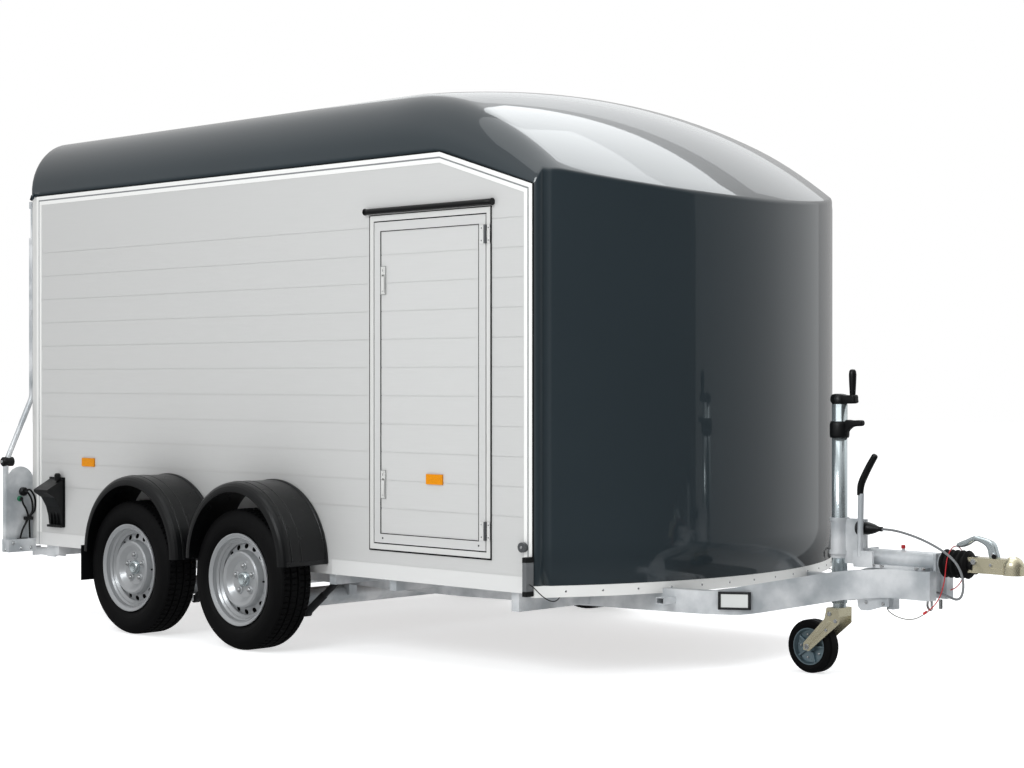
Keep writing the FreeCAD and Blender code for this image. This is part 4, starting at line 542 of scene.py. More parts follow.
def pipe(name, points, radii, finish, body="trailer", steps=6, sides=14, replaced=()):
    """Tube along a smooth line; a radius for each point, in millimetres."""
    line = smooth_line([spot(*point) for point in points], steps)
    rows = []
    across = (line[1] - line[0]).normalized().orthogonal().normalized()
    for index, place in enumerate(line):
        ahead = line[min(index + 1, len(line) - 1)] - line[max(index - 1, 0)]
        ahead.normalize()
        across = (across - ahead * across.dot(ahead)).normalized()
        up = ahead.cross(across)
        share = index / (len(line) - 1) * (len(radii) - 1)
        low = min(int(share), len(radii) - 2)
        radius = mix(radii[low], radii[low + 1], share - low) * MM
        rows.append([place + (across * cos(turn) + up * sin(turn)) * radius for turn in turns(sides)])
    add_piece(name, grid_mesh(name, rows, closed=True, cap=True), finish, body, replaced)


def slab_mesh(points, faces, radius, steps=0):
    """Outline in the XZ plane given a thickness along Y, its edges rounded."""
    outline = smooth_line(points, steps, closed=True) if steps else [Vector(point) for point in points]
    built = bmesh.new()
    rings = [[built.verts.new(spot(point.x, y, point.y)) for point in outline] for y in faces]
    built.faces.new(rings[0])
    built.faces.new(list(reversed(rings[1])))
    for index in range(len(outline)):
        after = (index + 1) % len(outline)
        built.faces.new((rings[0][index], rings[1][index], rings[1][after], rings[0][after]))
    bmesh.ops.recalc_face_normals(built, faces=built.faces)
    rims = [edge for edge in built.edges if abs(edge.verts[0].co.y - edge.verts[1].co.y) < WELD]
    bmesh.ops.bevel(built, geom=rims, offset=radius * MM, segments=3, profile=0.5, affect="EDGES")
    return baked("slab", built)


# Free cables: each follows the route of its solid
def spline_cord(name, points, radius, finish, node):
    curve = bpy.data.curves.new(name, "CURVE")
    curve.dimensions = "3D"
    spline = curve.splines.new("NURBS")
    spline.points.add(len(points) - 1)
    for control, point in zip(spline.points, points):
        control.co = (*spot(*point), 1)
    spline.order_u = 3
    spline.use_endpoint_u = True
    spline.resolution_u = 12
    curve.bevel_depth = radius * MM
    curve.bevel_resolution = 4
    curve.use_fill_caps = True
    curve.materials.append(finish.material)
    piece = linked(name, curve)
    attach(piece, "trailer")
    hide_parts(node)


PLUG_CABLE = (
    (4488, 0, 352), (4514, -2, 350), (4543, -9, 344), (4574, -23, 338), (4605, -42, 336),
    (4634, -62, 345), (4654, -79, 367), (4664, -90, 400), (4660, -96, 438), (4640, -97, 474),
    (4602, -92, 503), (4548, -80, 526), (4486, -68, 547), (4420, -56, 563), (4362, -46, 573),
    (4314, -36, 577), (4280, -36, 577),
)
STOP_CABLE = (
    (4302, -20, 286), (4303, -34, 284), (4312, -48, 277), (4333, -56, 266), (4363, -61, 256),
    (4398, -65, 250), (4433, -69, 252), (4464, -75, 262), (4492, -81, 277), (4519, -85, 295),
    (4544, -87, 318), (4564, -87, 347), (4576, -85, 383), (4581, -81, 421), (4581, -75, 459),
    (4579, -61, 494), (4577, -36, 519), (4575, -5, 530), (4574, 27, 524), (4573, 54, 503),
    (4571, 70, 472), (4567, 76, 437), (4559, 76, 403), (4544, 72, 376), (4522, 64, 358),
    (4490, 54, 350),
)
MARKER_WIRE = (
    (3353, 988, 372), (3366, 986, 367), (3378, 979, 353), (3388, 966, 336), (3398, 945, 318),
    (3401, 918, 307), (3398, 890, 306), (3392, 866, 315), (3388, 853, 327), (3387, 848, 338),
)
spline_cord("plug_lead", PLUG_CABLE, 4.5, GREY_CABLE, "plug_cable")
spline_cord("stop_cable", STOP_CABLE, 2.0, STOP_CABLE_SKIN, "breakaway_cable")
for side, sign in SIDES:
    wire = [(x, sign * y, z) for x, y, z in MARKER_WIRE]
    spline_cord(f"lamp_wire_{side}", wire, 2.0, BLACK_PLASTIC, f"marker_wire_{side}")


# Moulded roof and front in one glossy skin
shell_low, shell_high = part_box("body_shell")
WALL_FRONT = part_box("side_wall_right")[1].x
WALL_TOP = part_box("side_wall_right")[1].z
BODY_HALF = shell_high.y
ROOF_TOP = shell_high.z
ROOF_REAR = shell_low.x
SHELL_BOTTOM = shell_low.z
NOSE = shell_high.x
SHELL_THICK = 18 * MM
SLOPE_RUN = 492 * MM
SLOPE_DROP = 155 * MM
SLOPE_END = 1.02
KNEE = NOSE - 1095 * MM
ROOF_DROP = 506 * MM
FALL_SHAPE = 1.128
CAMBER = (90 * MM, 161 * MM)
SHOULDER = (181 * MM, 87 * MM)
CORNER_RETURN = 16 * MM
CORNER_BLEND = 20 * MM
CREASE_RADIUS = 26 * MM
CREASE_REACH = 30 * MM
CREASE_PROBE = 2 * MM
CREASE_ROUNDS = 40
REAR_ROUND = 30 * MM
REAR_ROUND_SHARE = 0.9
FAR = 1e9

# Steps of the skin's lines and the number of lines
REAR_STEPS = 4
REAR_ROUND_STEPS = 6
ROOF_STEPS = 64
CREASE_STEPS = 7
FRONT_STEPS = 10
SHOULDER_STEPS = 14
CROWN_STEPS = 30

bow_corner = WALL_FRONT + CORNER_RETURN
bow_rise = NOSE - bow_corner
BOW_RADIUS = (BODY_HALF ** 2 + bow_rise ** 2) / (2 * bow_rise)
BOW_CENTRE = NOSE - BOW_RADIUS
CORNER_ANGLE = asin(BODY_HALF / BOW_RADIUS)
CORNER_SETBACK = CREASE_RADIUS * tan((pi / 2 - CORNER_ANGLE) / 2)


def roof_station(x):
    """Crown height, camber, shoulder radius and wall edge height at a place along the body."""
    blend = min(max((x - KNEE) / (NOSE - KNEE), 0.0), 1.0)
    crown = ROOF_TOP - ROOF_DROP * (FALL_SHAPE * blend ** 2 - (FALL_SHAPE - 1) * blend ** 3)
    along = min(max((x - (WALL_FRONT - SLOPE_RUN)) / SLOPE_RUN, 0.0), SLOPE_END)
    return crown, mix(*CAMBER, blend), mix(*SHOULDER, blend), WALL_TOP - SLOPE_DROP * along


def roof_point(x, share):
    """Point on a section's right half; share 0 is the wall's edge, 1 the shoulder's top, 2 the crown."""
    crown, camber, shoulder, edge = roof_station(x)
    inner = BODY_HALF - shoulder

    def crown_height(across):
        return crown - camber * (across / BODY_HALF) ** 2

    if share > 1:
        across = inner * (2 - share)
        return Vector((x, -across, crown_height(across)))
    foot = crown_height(BODY_HALF) - shoulder
    base = max(foot, edge)
    straight = base - edge
    reach = share * (straight + shoulder * pi / 2)
    if reach <= straight:
        return Vector((x, -BODY_HALF, edge + reach))
    turn = (reach - straight) / shoulder
    across = inner + shoulder * cos(turn)
    if crown_height(across) < base:
        return Vector((x, -across, base))
    height = crown_height(across) - shoulder * (1 - sin(turn))
    return Vector((x, -across, height + (base - foot) * (1 - sin(turn))))


def bow_x(y):
    return BOW_CENTRE + sqrt(BOW_RADIUS ** 2 - y ** 2)


def plan_x(y):
    """Front outline from above with its rounded corners."""
    across = abs(y)
    centre_y = BODY_HALF - CREASE_RADIUS
    straight = bow_x(across) if across <= centre_y else FAR
    if across <= centre_y - CORNER_BLEND:
        return straight
    beyond = max(across - centre_y, 0.0)
    arc = sqrt(max(CREASE_RADIUS ** 2 - beyond ** 2, 0.0))
    return min(straight, bow_corner - CORNER_SETBACK + arc)


def crease_point(share):
    """Where a roof line meets the front outline."""
    x = bow_corner
    for _ in range(CREASE_ROUNDS):
        x = plan_x(roof_point(x, share).y)
    return roof_point(x, share)


def shell_line(share):
    """Points of one line: up the rear face, forward over the roof, round the crease and down the front."""
    top = crease_point(share)
    rear_top = roof_point(ROOF_REAR, share)
    drop = min(REAR_ROUND, max(rear_top.z - WALL_TOP, 0.0) * REAR_ROUND_SHARE)
    foot = rear_top.z - drop
    line = [
        Vector((ROOF_REAR, rear_top.y, mix(WALL_TOP, foot, step / REAR_STEPS)))
        for step in range(REAR_STEPS)
    ]
    line += [
        Vector((ROOF_REAR + drop * (1 - cos(turn)), rear_top.y, foot + drop * sin(turn)))
        for turn in turns(REAR_ROUND_STEPS, pi / 2)
    ]
    start = ROOF_REAR + drop
    line += [roof_point(mix(start, top.x, step / ROOF_STEPS), share) for step in range(ROOF_STEPS)]
    back = (roof_point(top.x - CREASE_PROBE, share) - top).normalized()
    down = Vector((0, 0, -1))
    setback = min(CREASE_RADIUS / tan(back.angle(down) / 2), CREASE_REACH, (top.z - SHELL_BOTTOM) / 3)
    first = top + back * setback
    last = top + down * setback
    for step in range(CREASE_STEPS + 1):
        part = step / CREASE_STEPS
        line.append(first * (1 - part) ** 2 + top * 2 * part * (1 - part) + last * part ** 2)
    line += [
        Vector((last.x, last.y, mix(last.z, SHELL_BOTTOM, step / FRONT_STEPS)))
        for step in range(1, FRONT_STEPS + 1)
    ]
    return line


shares = [index / SHOULDER_STEPS for index in range(SHOULDER_STEPS)]
shares += [1 + index / CROWN_STEPS for index in range(CROWN_STEPS + 1)]
right = [shell_line(share) for share in shares]
left = [[Vector((point.x, -point.y, point.z)) for point in line] for line in reversed(right[:-1])]
mesh = grid_mesh("shell_skin", right + left)
skin = add_piece("shell_skin", mesh, SHELL, "trailer", ["body_shell"], slot="shell")
thick = skin.modifiers.new("thickness", "SOLIDIFY")
thick.thickness = SHELL_THICK
thick.offset = -1.0


# Tyres with tread blocks and a moulded sidewall
AXLES = ("front", "rear")
TYRE_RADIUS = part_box("tyre_front_right")[1].z / 2
RIM_RADIUS = (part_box("wheel_front_right")[1].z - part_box("wheel_front_right")[0].z) / 2
TREAD_PITCHES = 72
STEPS_PER_PITCH = 6
PITCH_SHIFT = 3
CROWN_HALF = 58 * MM
CROWN_DROP = 0.6 * MM
SIDE_DROP = 1.5 * MM
TREAD_DROP = 2.5 * MM
LUGS_FROM = 46 * MM
LUG_DEPTH = 5.5 * MM
SIPES_FROM = 12 * MM
SIPE_DEPTH = 4.0 * MM
GROOVES = (-38 * MM, 0.0, 38 * MM)
GROOVE_DEPTH = 7 * MM
GROOVE_HALF = 4.5 * MM
GROOVE_FLOOR = 0.8
RIB_MIDDLE = 19 * MM
SIDEWALL = (
    (-14, 68.5), (-3, 71), (4, 75), (10, 80), (20, 87.5), (30, 91.2), (42, 92.4), (46, 92.5),
    (58, 92.0), (66, 90.5), (76, 86.6), (86, 81.0), (93, 76.5), (98, 70.5), (101, 64.0),
)


def tread_profile():
    """(radius, place across) from the outer bead over the tread to the inner bead."""
    side = [(min(RIM_RADIUS + up * MM, TYRE_RADIUS - SIDE_DROP), out * MM) for up, out in SIDEWALL]
    crown = [(TYRE_RADIUS - CROWN_DROP, CROWN_HALF)]
    for centre in reversed(GROOVES):
        crown += [
            (TYRE_RADIUS, centre + GROOVE_HALF),
            (TYRE_RADIUS - GROOVE_DEPTH, centre + GROOVE_HALF * GROOVE_FLOOR),
            (TYRE_RADIUS - GROOVE_DEPTH, centre - GROOVE_HALF * GROOVE_FLOOR),
            (TYRE_RADIUS, centre - GROOVE_HALF),
        ]
        if centre > GROOVES[0]:
            crown.append((TYRE_RADIUS, centre - RIB_MIDDLE))
    crown.append((TYRE_RADIUS - CROWN_DROP, -CROWN_HALF))
    return side + crown + [(radius, -out) for radius, out in reversed(side)]


def cut_depth(radius, out, index):
    """Depth of the lug gaps and sipes at one place of the tread."""
    phase = (index + (PITCH_SHIFT if out > 0 else 0)) % STEPS_PER_PITCH
    if radius <= TYRE_RADIUS - TREAD_DROP or abs(out) <= SIPES_FROM:
        return 0.0
    if abs(out) > LUGS_FROM:
        return LUG_DEPTH if phase < 2 else 0.0
    return SIPE_DEPTH if phase == 1 else 0.0


rows = []
for radius, out in tread_profile():
    row = []
    for index, turn in enumerate(turns(TREAD_PITCHES * STEPS_PER_PITCH)):
        reach = radius - cut_depth(radius, out, index)
        row.append(Vector((reach * sin(turn), out, reach * cos(turn))))
    rows.append(row)
tyre = grid_mesh("tyre", rows + rows[:1], closed=True)
for axle in AXLES:
    for side, _ in SIDES:
        node = f"tyre_{axle}_{side}"
        add_parts(
            f"road_{node}", [(tyre, Matrix.Translation(middle(node)))], TYRE_RUBBER,
            f"road_wheel_{axle}_{side}", replaced=[node], smooth=False, slot="tyres",
        )


# Rivets along the skirt under the front
RIVET_RADIUS = 4.5
RIVET_RISE = 2.2
RIVET_SINK = 0.5
RIVET_PITCH = 150 * MM

dome = [(RIVET_RADIUS * cos(turn), RIVET_RISE * sin(turn)) for turn in turns(4, pi / 2, 1)]
head = turned_mesh([(RIVET_RADIUS, -RIVET_SINK)] + dome, 16)
height = (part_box("front_skirt")[0].z + SHELL_BOTTOM) / 2
reach = int(BOW_RADIUS * CORNER_ANGLE / RIVET_PITCH)
placed = []
for index in range(-reach, reach + 1):
    turn = index * RIVET_PITCH / BOW_RADIUS
    outward = Vector((cos(turn), sin(turn), 0))
    place = Vector((BOW_CENTRE, 0, height)) + outward * (BOW_RADIUS - MM)
    placed.append((head, at(place, outward)))
add_parts("skirt_rivets", placed, BRIGHT_STEEL)


# Door: seals with painted shadow on two edges, beads, hinges, latches with painted shade in slots;
# millimetres from the wall's rear edge
UP = (0, 0, 1)
DOWN = (0, 0, -1)
AHEAD = (1, 0, 0)
OUTWARD = (0, -1, 0)
SIDEWAYS = (0, 1, 0)
WALL_FACE = -963
LEAF_FACE = -966
DOOR_OUTLINE = ((2437, 454), (2437, 1803), (3126, 1803), (3126, 454))
DOOR_OPENING = ((2459, 476), (2459, 1781), (3104, 1781), (3104, 476))
PANEL_OUTLINE = ((2500, 517), (2500, 1740), (3063, 1740), (3063, 517))
# Dark seal edges, widened at the bottom and beside the hinge with painted shadow
GASKET_AND_SHADOW_EDGES = (
    ((2434, 3130), (WALL_FACE, -967), (448, 453.5)),
    ((3126.5, 3131), (WALL_FACE, -968), (448, 1806)),
)
LEAF_SCREWS = [((x, LEAF_FACE, 500), OUTWARD, 3.5, 1.5, 16) for x in (2514, 3062)]
RAIN_RAIL = ((2418, -975, 1821), (2700, -975, 1821), (3144, -975, 1821))
RAIL_ENDS = (((2419, -975, 1821), (-1, 0, 0), 14, 4, 24), ((3143, -975, 1821), AHEAD, 14, 4, 24))
CATCH_SCREW = (((3305, -983, 508), OUTWARD, 6, 1.5, 20),)
HINGE_MIDDLES = (558, 1699)
HINGE_HALF = 36
HINGE_SCREWS = (-24, 24)
# Name, span along the wall, face, place of the screws and body of each half of a hinge
HINGE_HALVES = (
    ("strap", (3069, 3094), -968, 3079, "side_door"),
    ("plate", (3110, 3125), -969.4, 3118, "trailer"),
)
LATCH_SPAN = (2504.5, 2532.5)
LATCH_FEET = (("low", 661), ("high", 1484))
LATCH_HEIGHT = 112
# Faces of the dark blocks painted as shade in the latches' slots
LATCH_SLOT_SHADE = (-970.6, -971.3)

strip("door_gasket", DOOR_OUTLINE, 0, 3, (WALL_FACE, -966.6), RUBBER_AND_SHADE)
# Seal edges in black, widened with painted shadow
blocks("door_gasket_and_shadow_edges", GASKET_AND_SHADOW_EDGES, RUBBER_AND_SHADE, radius=0.4)
strip("door_seal", DOOR_OPENING, -3, 0, (-950, -962), RUBBER_AND_SHADE)
strip("panel_bead", PANEL_OUTLINE, -2.6, 0, (-960, -966.2), RUBBER_AND_SHADE, "side_door")
heads("leaf_screws", LEAF_SCREWS, DARK_STEEL_AND_SHADE, "side_door")
pipe("rail_roll", RAIN_RAIL, (12, 12, 12), BLACK_PLASTIC)
heads("catch_screw", CATCH_SCREW, BRIGHT_STEEL)
heads("rail_ends", RAIL_ENDS, BLACK_PLASTIC)

for name, span, face, _, body in HINGE_HALVES:
    plates = [(span, (LEAF_FACE, face), (z - HINGE_HALF, z + HINGE_HALF)) for z in HINGE_MIDDLES]
    blocks(f"hinge_{name}s", plates, FRAME_METAL, body, 0.4)
for name, _, face, x, body in HINGE_HALVES:
    heights = [z + shift for z in HINGE_MIDDLES for shift in HINGE_SCREWS]
    heads(f"{name}_screws", [((x, face, z), OUTWARD, 3.2, 1.2, 16) for z in heights], BRIGHT_STEEL, body)

# Dark blocks painted as shade in each latch's key and handle slots
slot_shades = []
rear, front = LATCH_SPAN
for name, foot in LATCH_FEET:
    top = foot + LATCH_HEIGHT
    outline = ((rear, foot), (rear, top), (front, top), (front, foot))
    strip(f"latch_rim_{name}", outline, 0, 1.0, (LEAF_FACE, -968.2), HINGE_STEEL, "side_door")
    slot_shades.append(((2518.2, 2519.8), LATCH_SLOT_SHADE, (top - 21, top - 11)))
    slot_shades.append(((2515, 2523), LATCH_SLOT_SHADE, (foot + 12, foot + 13.6)))
blocks("latch_slot_shades", slot_shades, DARK_STEEL_AND_SHADE, "side_door", 0.2)


# Wall edges: painted shade in the trim's groove, the black joint under the moulding and caps of the marker
# lamps
TRIM_LINE = ((0, 333), (0, 2034), (2844, 2034), (3345, 1876), (3345, 333))
TRIM_RIB = 17.5
TRIM_FAR = 24.5
GROOVE_SHADE_FACES = (963.9, 964.2)
JOINT_WIDTH = 4.5
JOINT_FACES = (961, 965.3)
MARKER_CAPS = [((3331, 3355), (966, 1006), up) for up in ((326, 346), (454, 474))]

for side, sign in SIDES:
    groove = [sign * face for face in GROOVE_SHADE_FACES]
    joint = [sign * face for face in JOINT_FACES]
    # Painted shade: a grey strip in the trim's groove
    strip(f"trim_groove_{side}", TRIM_LINE, -TRIM_FAR, -TRIM_RIB, groove, TRIM_GROOVE_SHADE, closed=False)
    strip(f"shell_joint_{side}", TRIM_LINE[1:], 0, JOINT_WIDTH, joint, RUBBER_AND_SHADE, closed=False)
    blocks(f"marker_caps_{side}", MARKER_CAPS, BLACK_PLASTIC, radius=2.0, sign=sign)


# Road wheels, (radius, place outward) in millimetres: ridges, bolts, cap and painted shade in the vents
BOLT_CIRCLE = 56
BOLT_COUNT = 5
BOLT_START = 0.12 * pi
BOLT_HEAD = (9.5, 11, 6)
BOLT_FOOT = (0, 0, 45.5)
BOLT_SEAT = ((18, 40.5), (16.5, 48.5), (14, 50), (11.5, 49.5), (10.5, 46), (0.2, 46))
HUB_CAP = ((31, 40.5), (31, 51), (29.5, 55), (25, 60), (20, 61.5), (18.5, 59), (0.2, 59))
RIM_RIDGES = ((177.5, 76.0, 2.0), (164.0, 53.0, 2.0), (153.0, 40.5, 1.6))
VALVE_PLACE = (148, 0, 36)
VALVE = (4, 30, 12)
VENT_COUNT = 16
VENT_OUTLINE = (
    (-11.6, 134.2), (-4.8, 128.4), (4.8, 128.4), (11.6, 134.2),
    (11.6, 143.8), (4.8, 149.6), (-4.8, 149.6), (-11.6, 143.8),
)
# Black channel behind the vents, painted shade
VENT_SHADOW = (
    (124.6, -3), (124.6, 28), (125.6, 28), (125.6, -2), (149.4, -2),
    (149.4, 21.8), (150.4, 21.8), (150.4, -3), (124.6, -3),
)
DISC_INNER = (124, 38)
DISC_SLOPE = -8 / 27
# Depths of the painted shade on the vents' walls
SHADE_LINING_ENDS = (8.4, 0.7)


def ring_profile(radius, place, size):
    return [(radius + size * cos(turn), place + size * sin(turn)) for turn in turns(8, ends=1)]


def vent_shade_lining():
    """Painted shade on the wall just inside a vent, from the disc's back to under its face."""
    rows = []
    for below in SHADE_LINING_ENDS:
        row = []
        for across, radius in VENT_OUTLINE:
            face = DISC_INNER[1] + (hypot(across, radius) - DISC_INNER[0]) * DISC_SLOPE
            row.append(Vector((across, radius, face - below)) * MM)
        rows.append(row)
    return grid_mesh("shade_lining", rows, closed=True)


ridges = [(turned_mesh(ring_profile(*ridge), 96), Matrix()) for ridge in RIM_RIDGES]
shade_lining = vent_shade_lining()
shade_linings = [(shade_lining, Matrix.Rotation(turn, 4, "Z")) for turn in turns(VENT_COUNT)]
seat = turned_mesh(BOLT_SEAT, 28)
bolt = head_mesh(*BOLT_HEAD)
seats = []
bolts = []
for turn in turns(BOLT_COUNT):
    around = Vector((cos(turn + BOLT_START), sin(turn + BOLT_START), 0)) * BOLT_CIRCLE
    seats.append((seat, Matrix.Translation(around * MM)))
    bolts.append((bolt, Matrix.Translation((around + Vector(BOLT_FOOT)) * MM)))
sets = (
    ("rim_ridges", ridges + seats, RIM_PAINT),
    # Painted shade: black channel and walls in the vents
    ("vent_shadow", [(turned_mesh(VENT_SHADOW, 64), Matrix())] + shade_linings, RUBBER_AND_SHADE),
    ("hub_cap", [(turned_mesh(HUB_CAP, 40), Matrix())], POLISHED_ZINC),
    ("wheel_bolts", bolts, BRIGHT_STEEL),
    ("valve", [(head_mesh(*VALVE), Matrix.Translation(Vector(VALVE_PLACE) * MM))], RUBBER_AND_SHADE),
)
for axle in AXLES:
    for side, sign in SIDES:
        hub = at(middle(f"tyre_{axle}_{side}"), (0, sign, 0))
        for name, parts, finish in sets:
            placed = [(mesh, hub @ place) for mesh, place in parts]
            add_parts(f"{name}_{axle}_{side}", placed, finish, f"road_wheel_{axle}_{side}")


# Mudguards: raised bands, (place out, half width, rise), and the thick edge in front
GUARDS = ((1837, 374, 338), (1089, 358, 354))
GUARD_BEADS = ((1158, 4, 2.5), (1106, 3, 2), (974, 9, 5))
BEAD_SINK = 0.3
BEAD_STEPS = 48
GUARD_EDGE = (((2173, 2178), (965, 1189), (374, 392)),)


def arc_bead(centre_x, centre_z, radius, out, half, rise):
    """Half-round bead over a mudguard's back."""
    section = [(half * cos(turn), rise * sin(turn)) for turn in turns(6, pi, 1)]
    rows = []
    for turn in turns(BEAD_STEPS, pi, 1):
        ahead, high = cos(turn), sin(turn)
        rows.append([
            spot(centre_x + (radius + up) * ahead, out + across, centre_z + (radius + up) * high)
            for across, up in section
        ])
    return grid_mesh("bead", rows)


for side, sign in SIDES:
    beads = [
        (arc_bead(x, z, radius - BEAD_SINK, sign * out, half, rise), Matrix())
        for x, z, radius in GUARDS for out, half, rise in GUARD_BEADS
    ]
    add_parts(f"guard_beads_{side}", beads, GUARD_PLASTIC)
    blocks(f"guard_edges_{side}", GUARD_EDGE, GUARD_PLASTIC, radius=1.4, sign=sign)


# Rear corners and chocks, given for the left side
CORNER_ROLLER = (((-58, 1068, 740), SIDEWAYS, 23, 56, 32),)
ROLLER_PIN = (((-58, 1121, 740), SIDEWAYS, 8, 7, 16),)
LEAD_SOCKET = (((-45, 1017, 592), AHEAD, 21, 22, 28), ((-45, 1035, 557), AHEAD, 9, 24, 20))
SOCKET_RING = (((-45, 1035, 557), AHEAD, 13, 14, 24),)
LAMP_LEADS = (
    (
        (-24, 1018, 592), (-14, 1005, 585), (-16, 982, 545),
        (-20, 978, 495), (-26, 1000, 461), (-30, 1012, 430),
    ),
    (
        (-20, 1035, 557), (-12, 1035, 535), (-16, 1012, 500),
        (-24, 1000, 461), (-30, 1025, 410), (-34, 1040, 359),
    ),
    (
        (-24, 1010, 595), (-12, 995, 600), (-14, 968, 560),
        (-18, 966, 500), (-24, 990, 461), (-30, 985, 365),
    ),
)
LEAD_CLIPS = (((-42, -14), (975, 1015), (452, 470)), ((-46, -22), (1000, 1050), (345, 365)))
FOOT_BOLTS = [((-14, y, z), AHEAD, 8, 6, 6) for y, z in ((1045, 318), (1090, 345), (990, 318))]
FOOT_BOLTS.append(((-45, 1103, 312), SIDEWAYS, 8, 14, 6))
CHOCK_HOLDER = [((118, 238), (963, 986), (426, 438)), ((112, 244), (963, 968), (428, 668))]
CHOCK_HOLDER += [((x - 2, x + 2), (968, 985), (440, 560)) for x in (150, 178, 206)]
CHOCK_KNOB = (((210, 985, 655), UP, 15, 30, 24), ((210, 985, 683), UP, 11, 5, 24))

for side, sign in SIDES:
    heads(f"corner_roller_{side}", CORNER_ROLLER, BLACK_PLASTIC, sign=sign)
    heads(f"roller_pin_{side}", ROLLER_PIN, BRIGHT_STEEL, sign=sign)
    heads(f"lead_socket_{side}", LEAD_SOCKET, BLACK_PLASTIC, sign=sign)
    heads(f"socket_ring_{side}", SOCKET_RING, GREEN_PLASTIC, sign=sign)
    for index, points in enumerate(LAMP_LEADS):
        lead = [(x, sign * y, z) for x, y, z in points]
        pipe(f"lamp_lead_{index}_{side}", lead, [5.0] * len(lead), BLACK_PLASTIC, steps=5, sides=10)
    blocks(f"lead_clips_{side}", LEAD_CLIPS, BLACK_PLASTIC, radius=3.0, sign=sign)
    heads(f"foot_bolts_{side}", FOOT_BOLTS, BRIGHT_STEEL, sign=sign)

for side, sign in SIDES:
    blocks(f"chock_holder_{side}", CHOCK_HOLDER, BLACK_PLASTIC, radius=2.0, sign=sign)
    heads(f"chock_knob_{side}", CHOCK_KNOB, BLACK_PLASTIC, sign=sign)


# Dark frames of the drawbar's white reflectors: four bars round each plate, which leans with its beam
FRAME_OVER = 3 * MM
FRAME_LIP = 6 * MM
FRAME_END = 8 * MM
FRAME_EDGE = 0.8 * MM

node = nodes["beam_reflectors"]
world = node.matrix_world
for side, sign in SIDES:
    places = [world @ vert.co for vert in node.data.vertices]
    places = [place for place in places if place.y * sign >= 0]
    centre = sum(places, Vector()) / len(places)
    faces = [face for face in node.data.polygons if (world @ face.center).y * sign >= 0]
    normal = world.to_3x3() @ max(faces, key=lambda face: face.area).normal
    if normal.y * sign < 0:
        normal.negate()
    up = Vector(UP)
    turned = Matrix((up.cross(normal).normalized(), up, normal)).transposed().to_4x4()
    places = [turned.inverted() @ (place - centre) for place in places]
    reach, rise, depth = (max(place[axis] for place in places) for axis in range(3))
    across = reach + FRAME_OVER
    bars = []
    for x_span, y_span in (
        ((-across, across), (rise - FRAME_LIP, rise + FRAME_OVER)),
        ((-across, across), (-rise - FRAME_OVER, FRAME_LIP - rise)),
        ((-across, FRAME_END - reach), (-rise, rise)),
        ((reach - FRAME_END, across), (-rise, rise)),
    ):
        size = Vector((x_span[1] - x_span[0], y_span[1] - y_span[0], 2 * depth + FRAME_OVER))
        shift = Vector((sum(x_span) / 2, sum(y_span) / 2, 0))
        place = Matrix.Translation(centre) @ turned @ Matrix.Translation(shift)
        bars.append((bevelled_box(size, FRAME_EDGE), place))
    add_parts(f"reflector_frame_{side}", bars, DARK_STEEL_AND_SHADE, smooth=False)


# Drawbar: bellows, coupling and housing
BELLOWS_FOLDS = 5
FOLD_STEPS = 8
FOLD_LOW = 39
FOLD_RISE = 13.5
BELLOWS_BORE = 30
BELLOWS_COLLAR = ((28, 0), (34, 0), (34, 22), (28, 22))
COLLAR_BACK = 2 * MM
HANDLE = (
    (4723, 493), (4755, 493), (4749, 521), (4738, 547), (4713, 560), (4678, 568), (4658, 570), (4625, 556),
    (4600, 546), (4586, 538), (4587, 526), (4609, 527), (4632, 536), (4660, 552), (4690, 545), (4712, 528),
)
HEAD_BOLTS = (
    ((4668, -28, 478), OUTWARD, 12, 7, 6), ((4668, 28, 478), SIDEWAYS, 12, 7, 6),
    ((4738, -28, 470), OUTWARD, 6, 5, 6), ((4738, -14, 506), OUTWARD, 7, 3, 20),
)
HANDLE_PIVOT = (((4744, -13, 500), OUTWARD, 9, 6, 24),)
HEAD_SEAMS = (((4648, 4800), (-28.8, 28.8), (457, 459)), ((4648, 4660), (-30, 30), (438, 494)))
GREASE_CAP = (((4350, 0, 508), UP, 8, 12, 20),)
HOUSING_BOLTS = [((x, -68, 439), UP, 9, 8, 6) for x in (4262, 4300, 4452, 4480)]
HOUSING_BOLTS += [((x, -66, 300), OUTWARD, 7, 5, 6) for x in (4230, 4305)]
HOUSING_FLANGES = (((4200, 4212), (-46, 46), (433, 502)), ((4508, 4520), (-46, 46), (433, 500)))
SHACKLE = (
    (4502, -70, 330), (4500, -70, 308), (4504, -62, 294),
    (4504, -48, 294), (4500, -42, 308), (4500, -42, 330),
)
CLOSING_BOLT = (((4512, 0, 326), DOWN, 8, 34, 6),)
CABLE_FERRULE = (((4492, -81, 280), (0.85, -0.1, 0.5), 5, 16, 12),)

low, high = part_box("bellows")
length = (high.x - low.x) / MM
height = (low.z + high.z) / 2
count = BELLOWS_FOLDS * FOLD_STEPS
profile = [(BELLOWS_BORE, 0.0)]
for step in range(count + 1):
    wave = 0.5 - 0.5 * cos(2 * pi * BELLOWS_FOLDS * step / count)
    profile.append((FOLD_LOW + FOLD_RISE * wave, length * step / count))
profile.append((BELLOWS_BORE, length))
folds = [(turned_mesh(profile, 40), at((low.x, 0, height), AHEAD))]
add_parts("bellows_folds", folds, RUBBER_AND_SHADE, replaced=["bellows"], slot="rubber")
collar = [(turned_mesh(BELLOWS_COLLAR, 32), at((high.x - COLLAR_BACK, 0, height), AHEAD))]
add_parts("bellows_collar", collar, RUBBER_AND_SHADE)

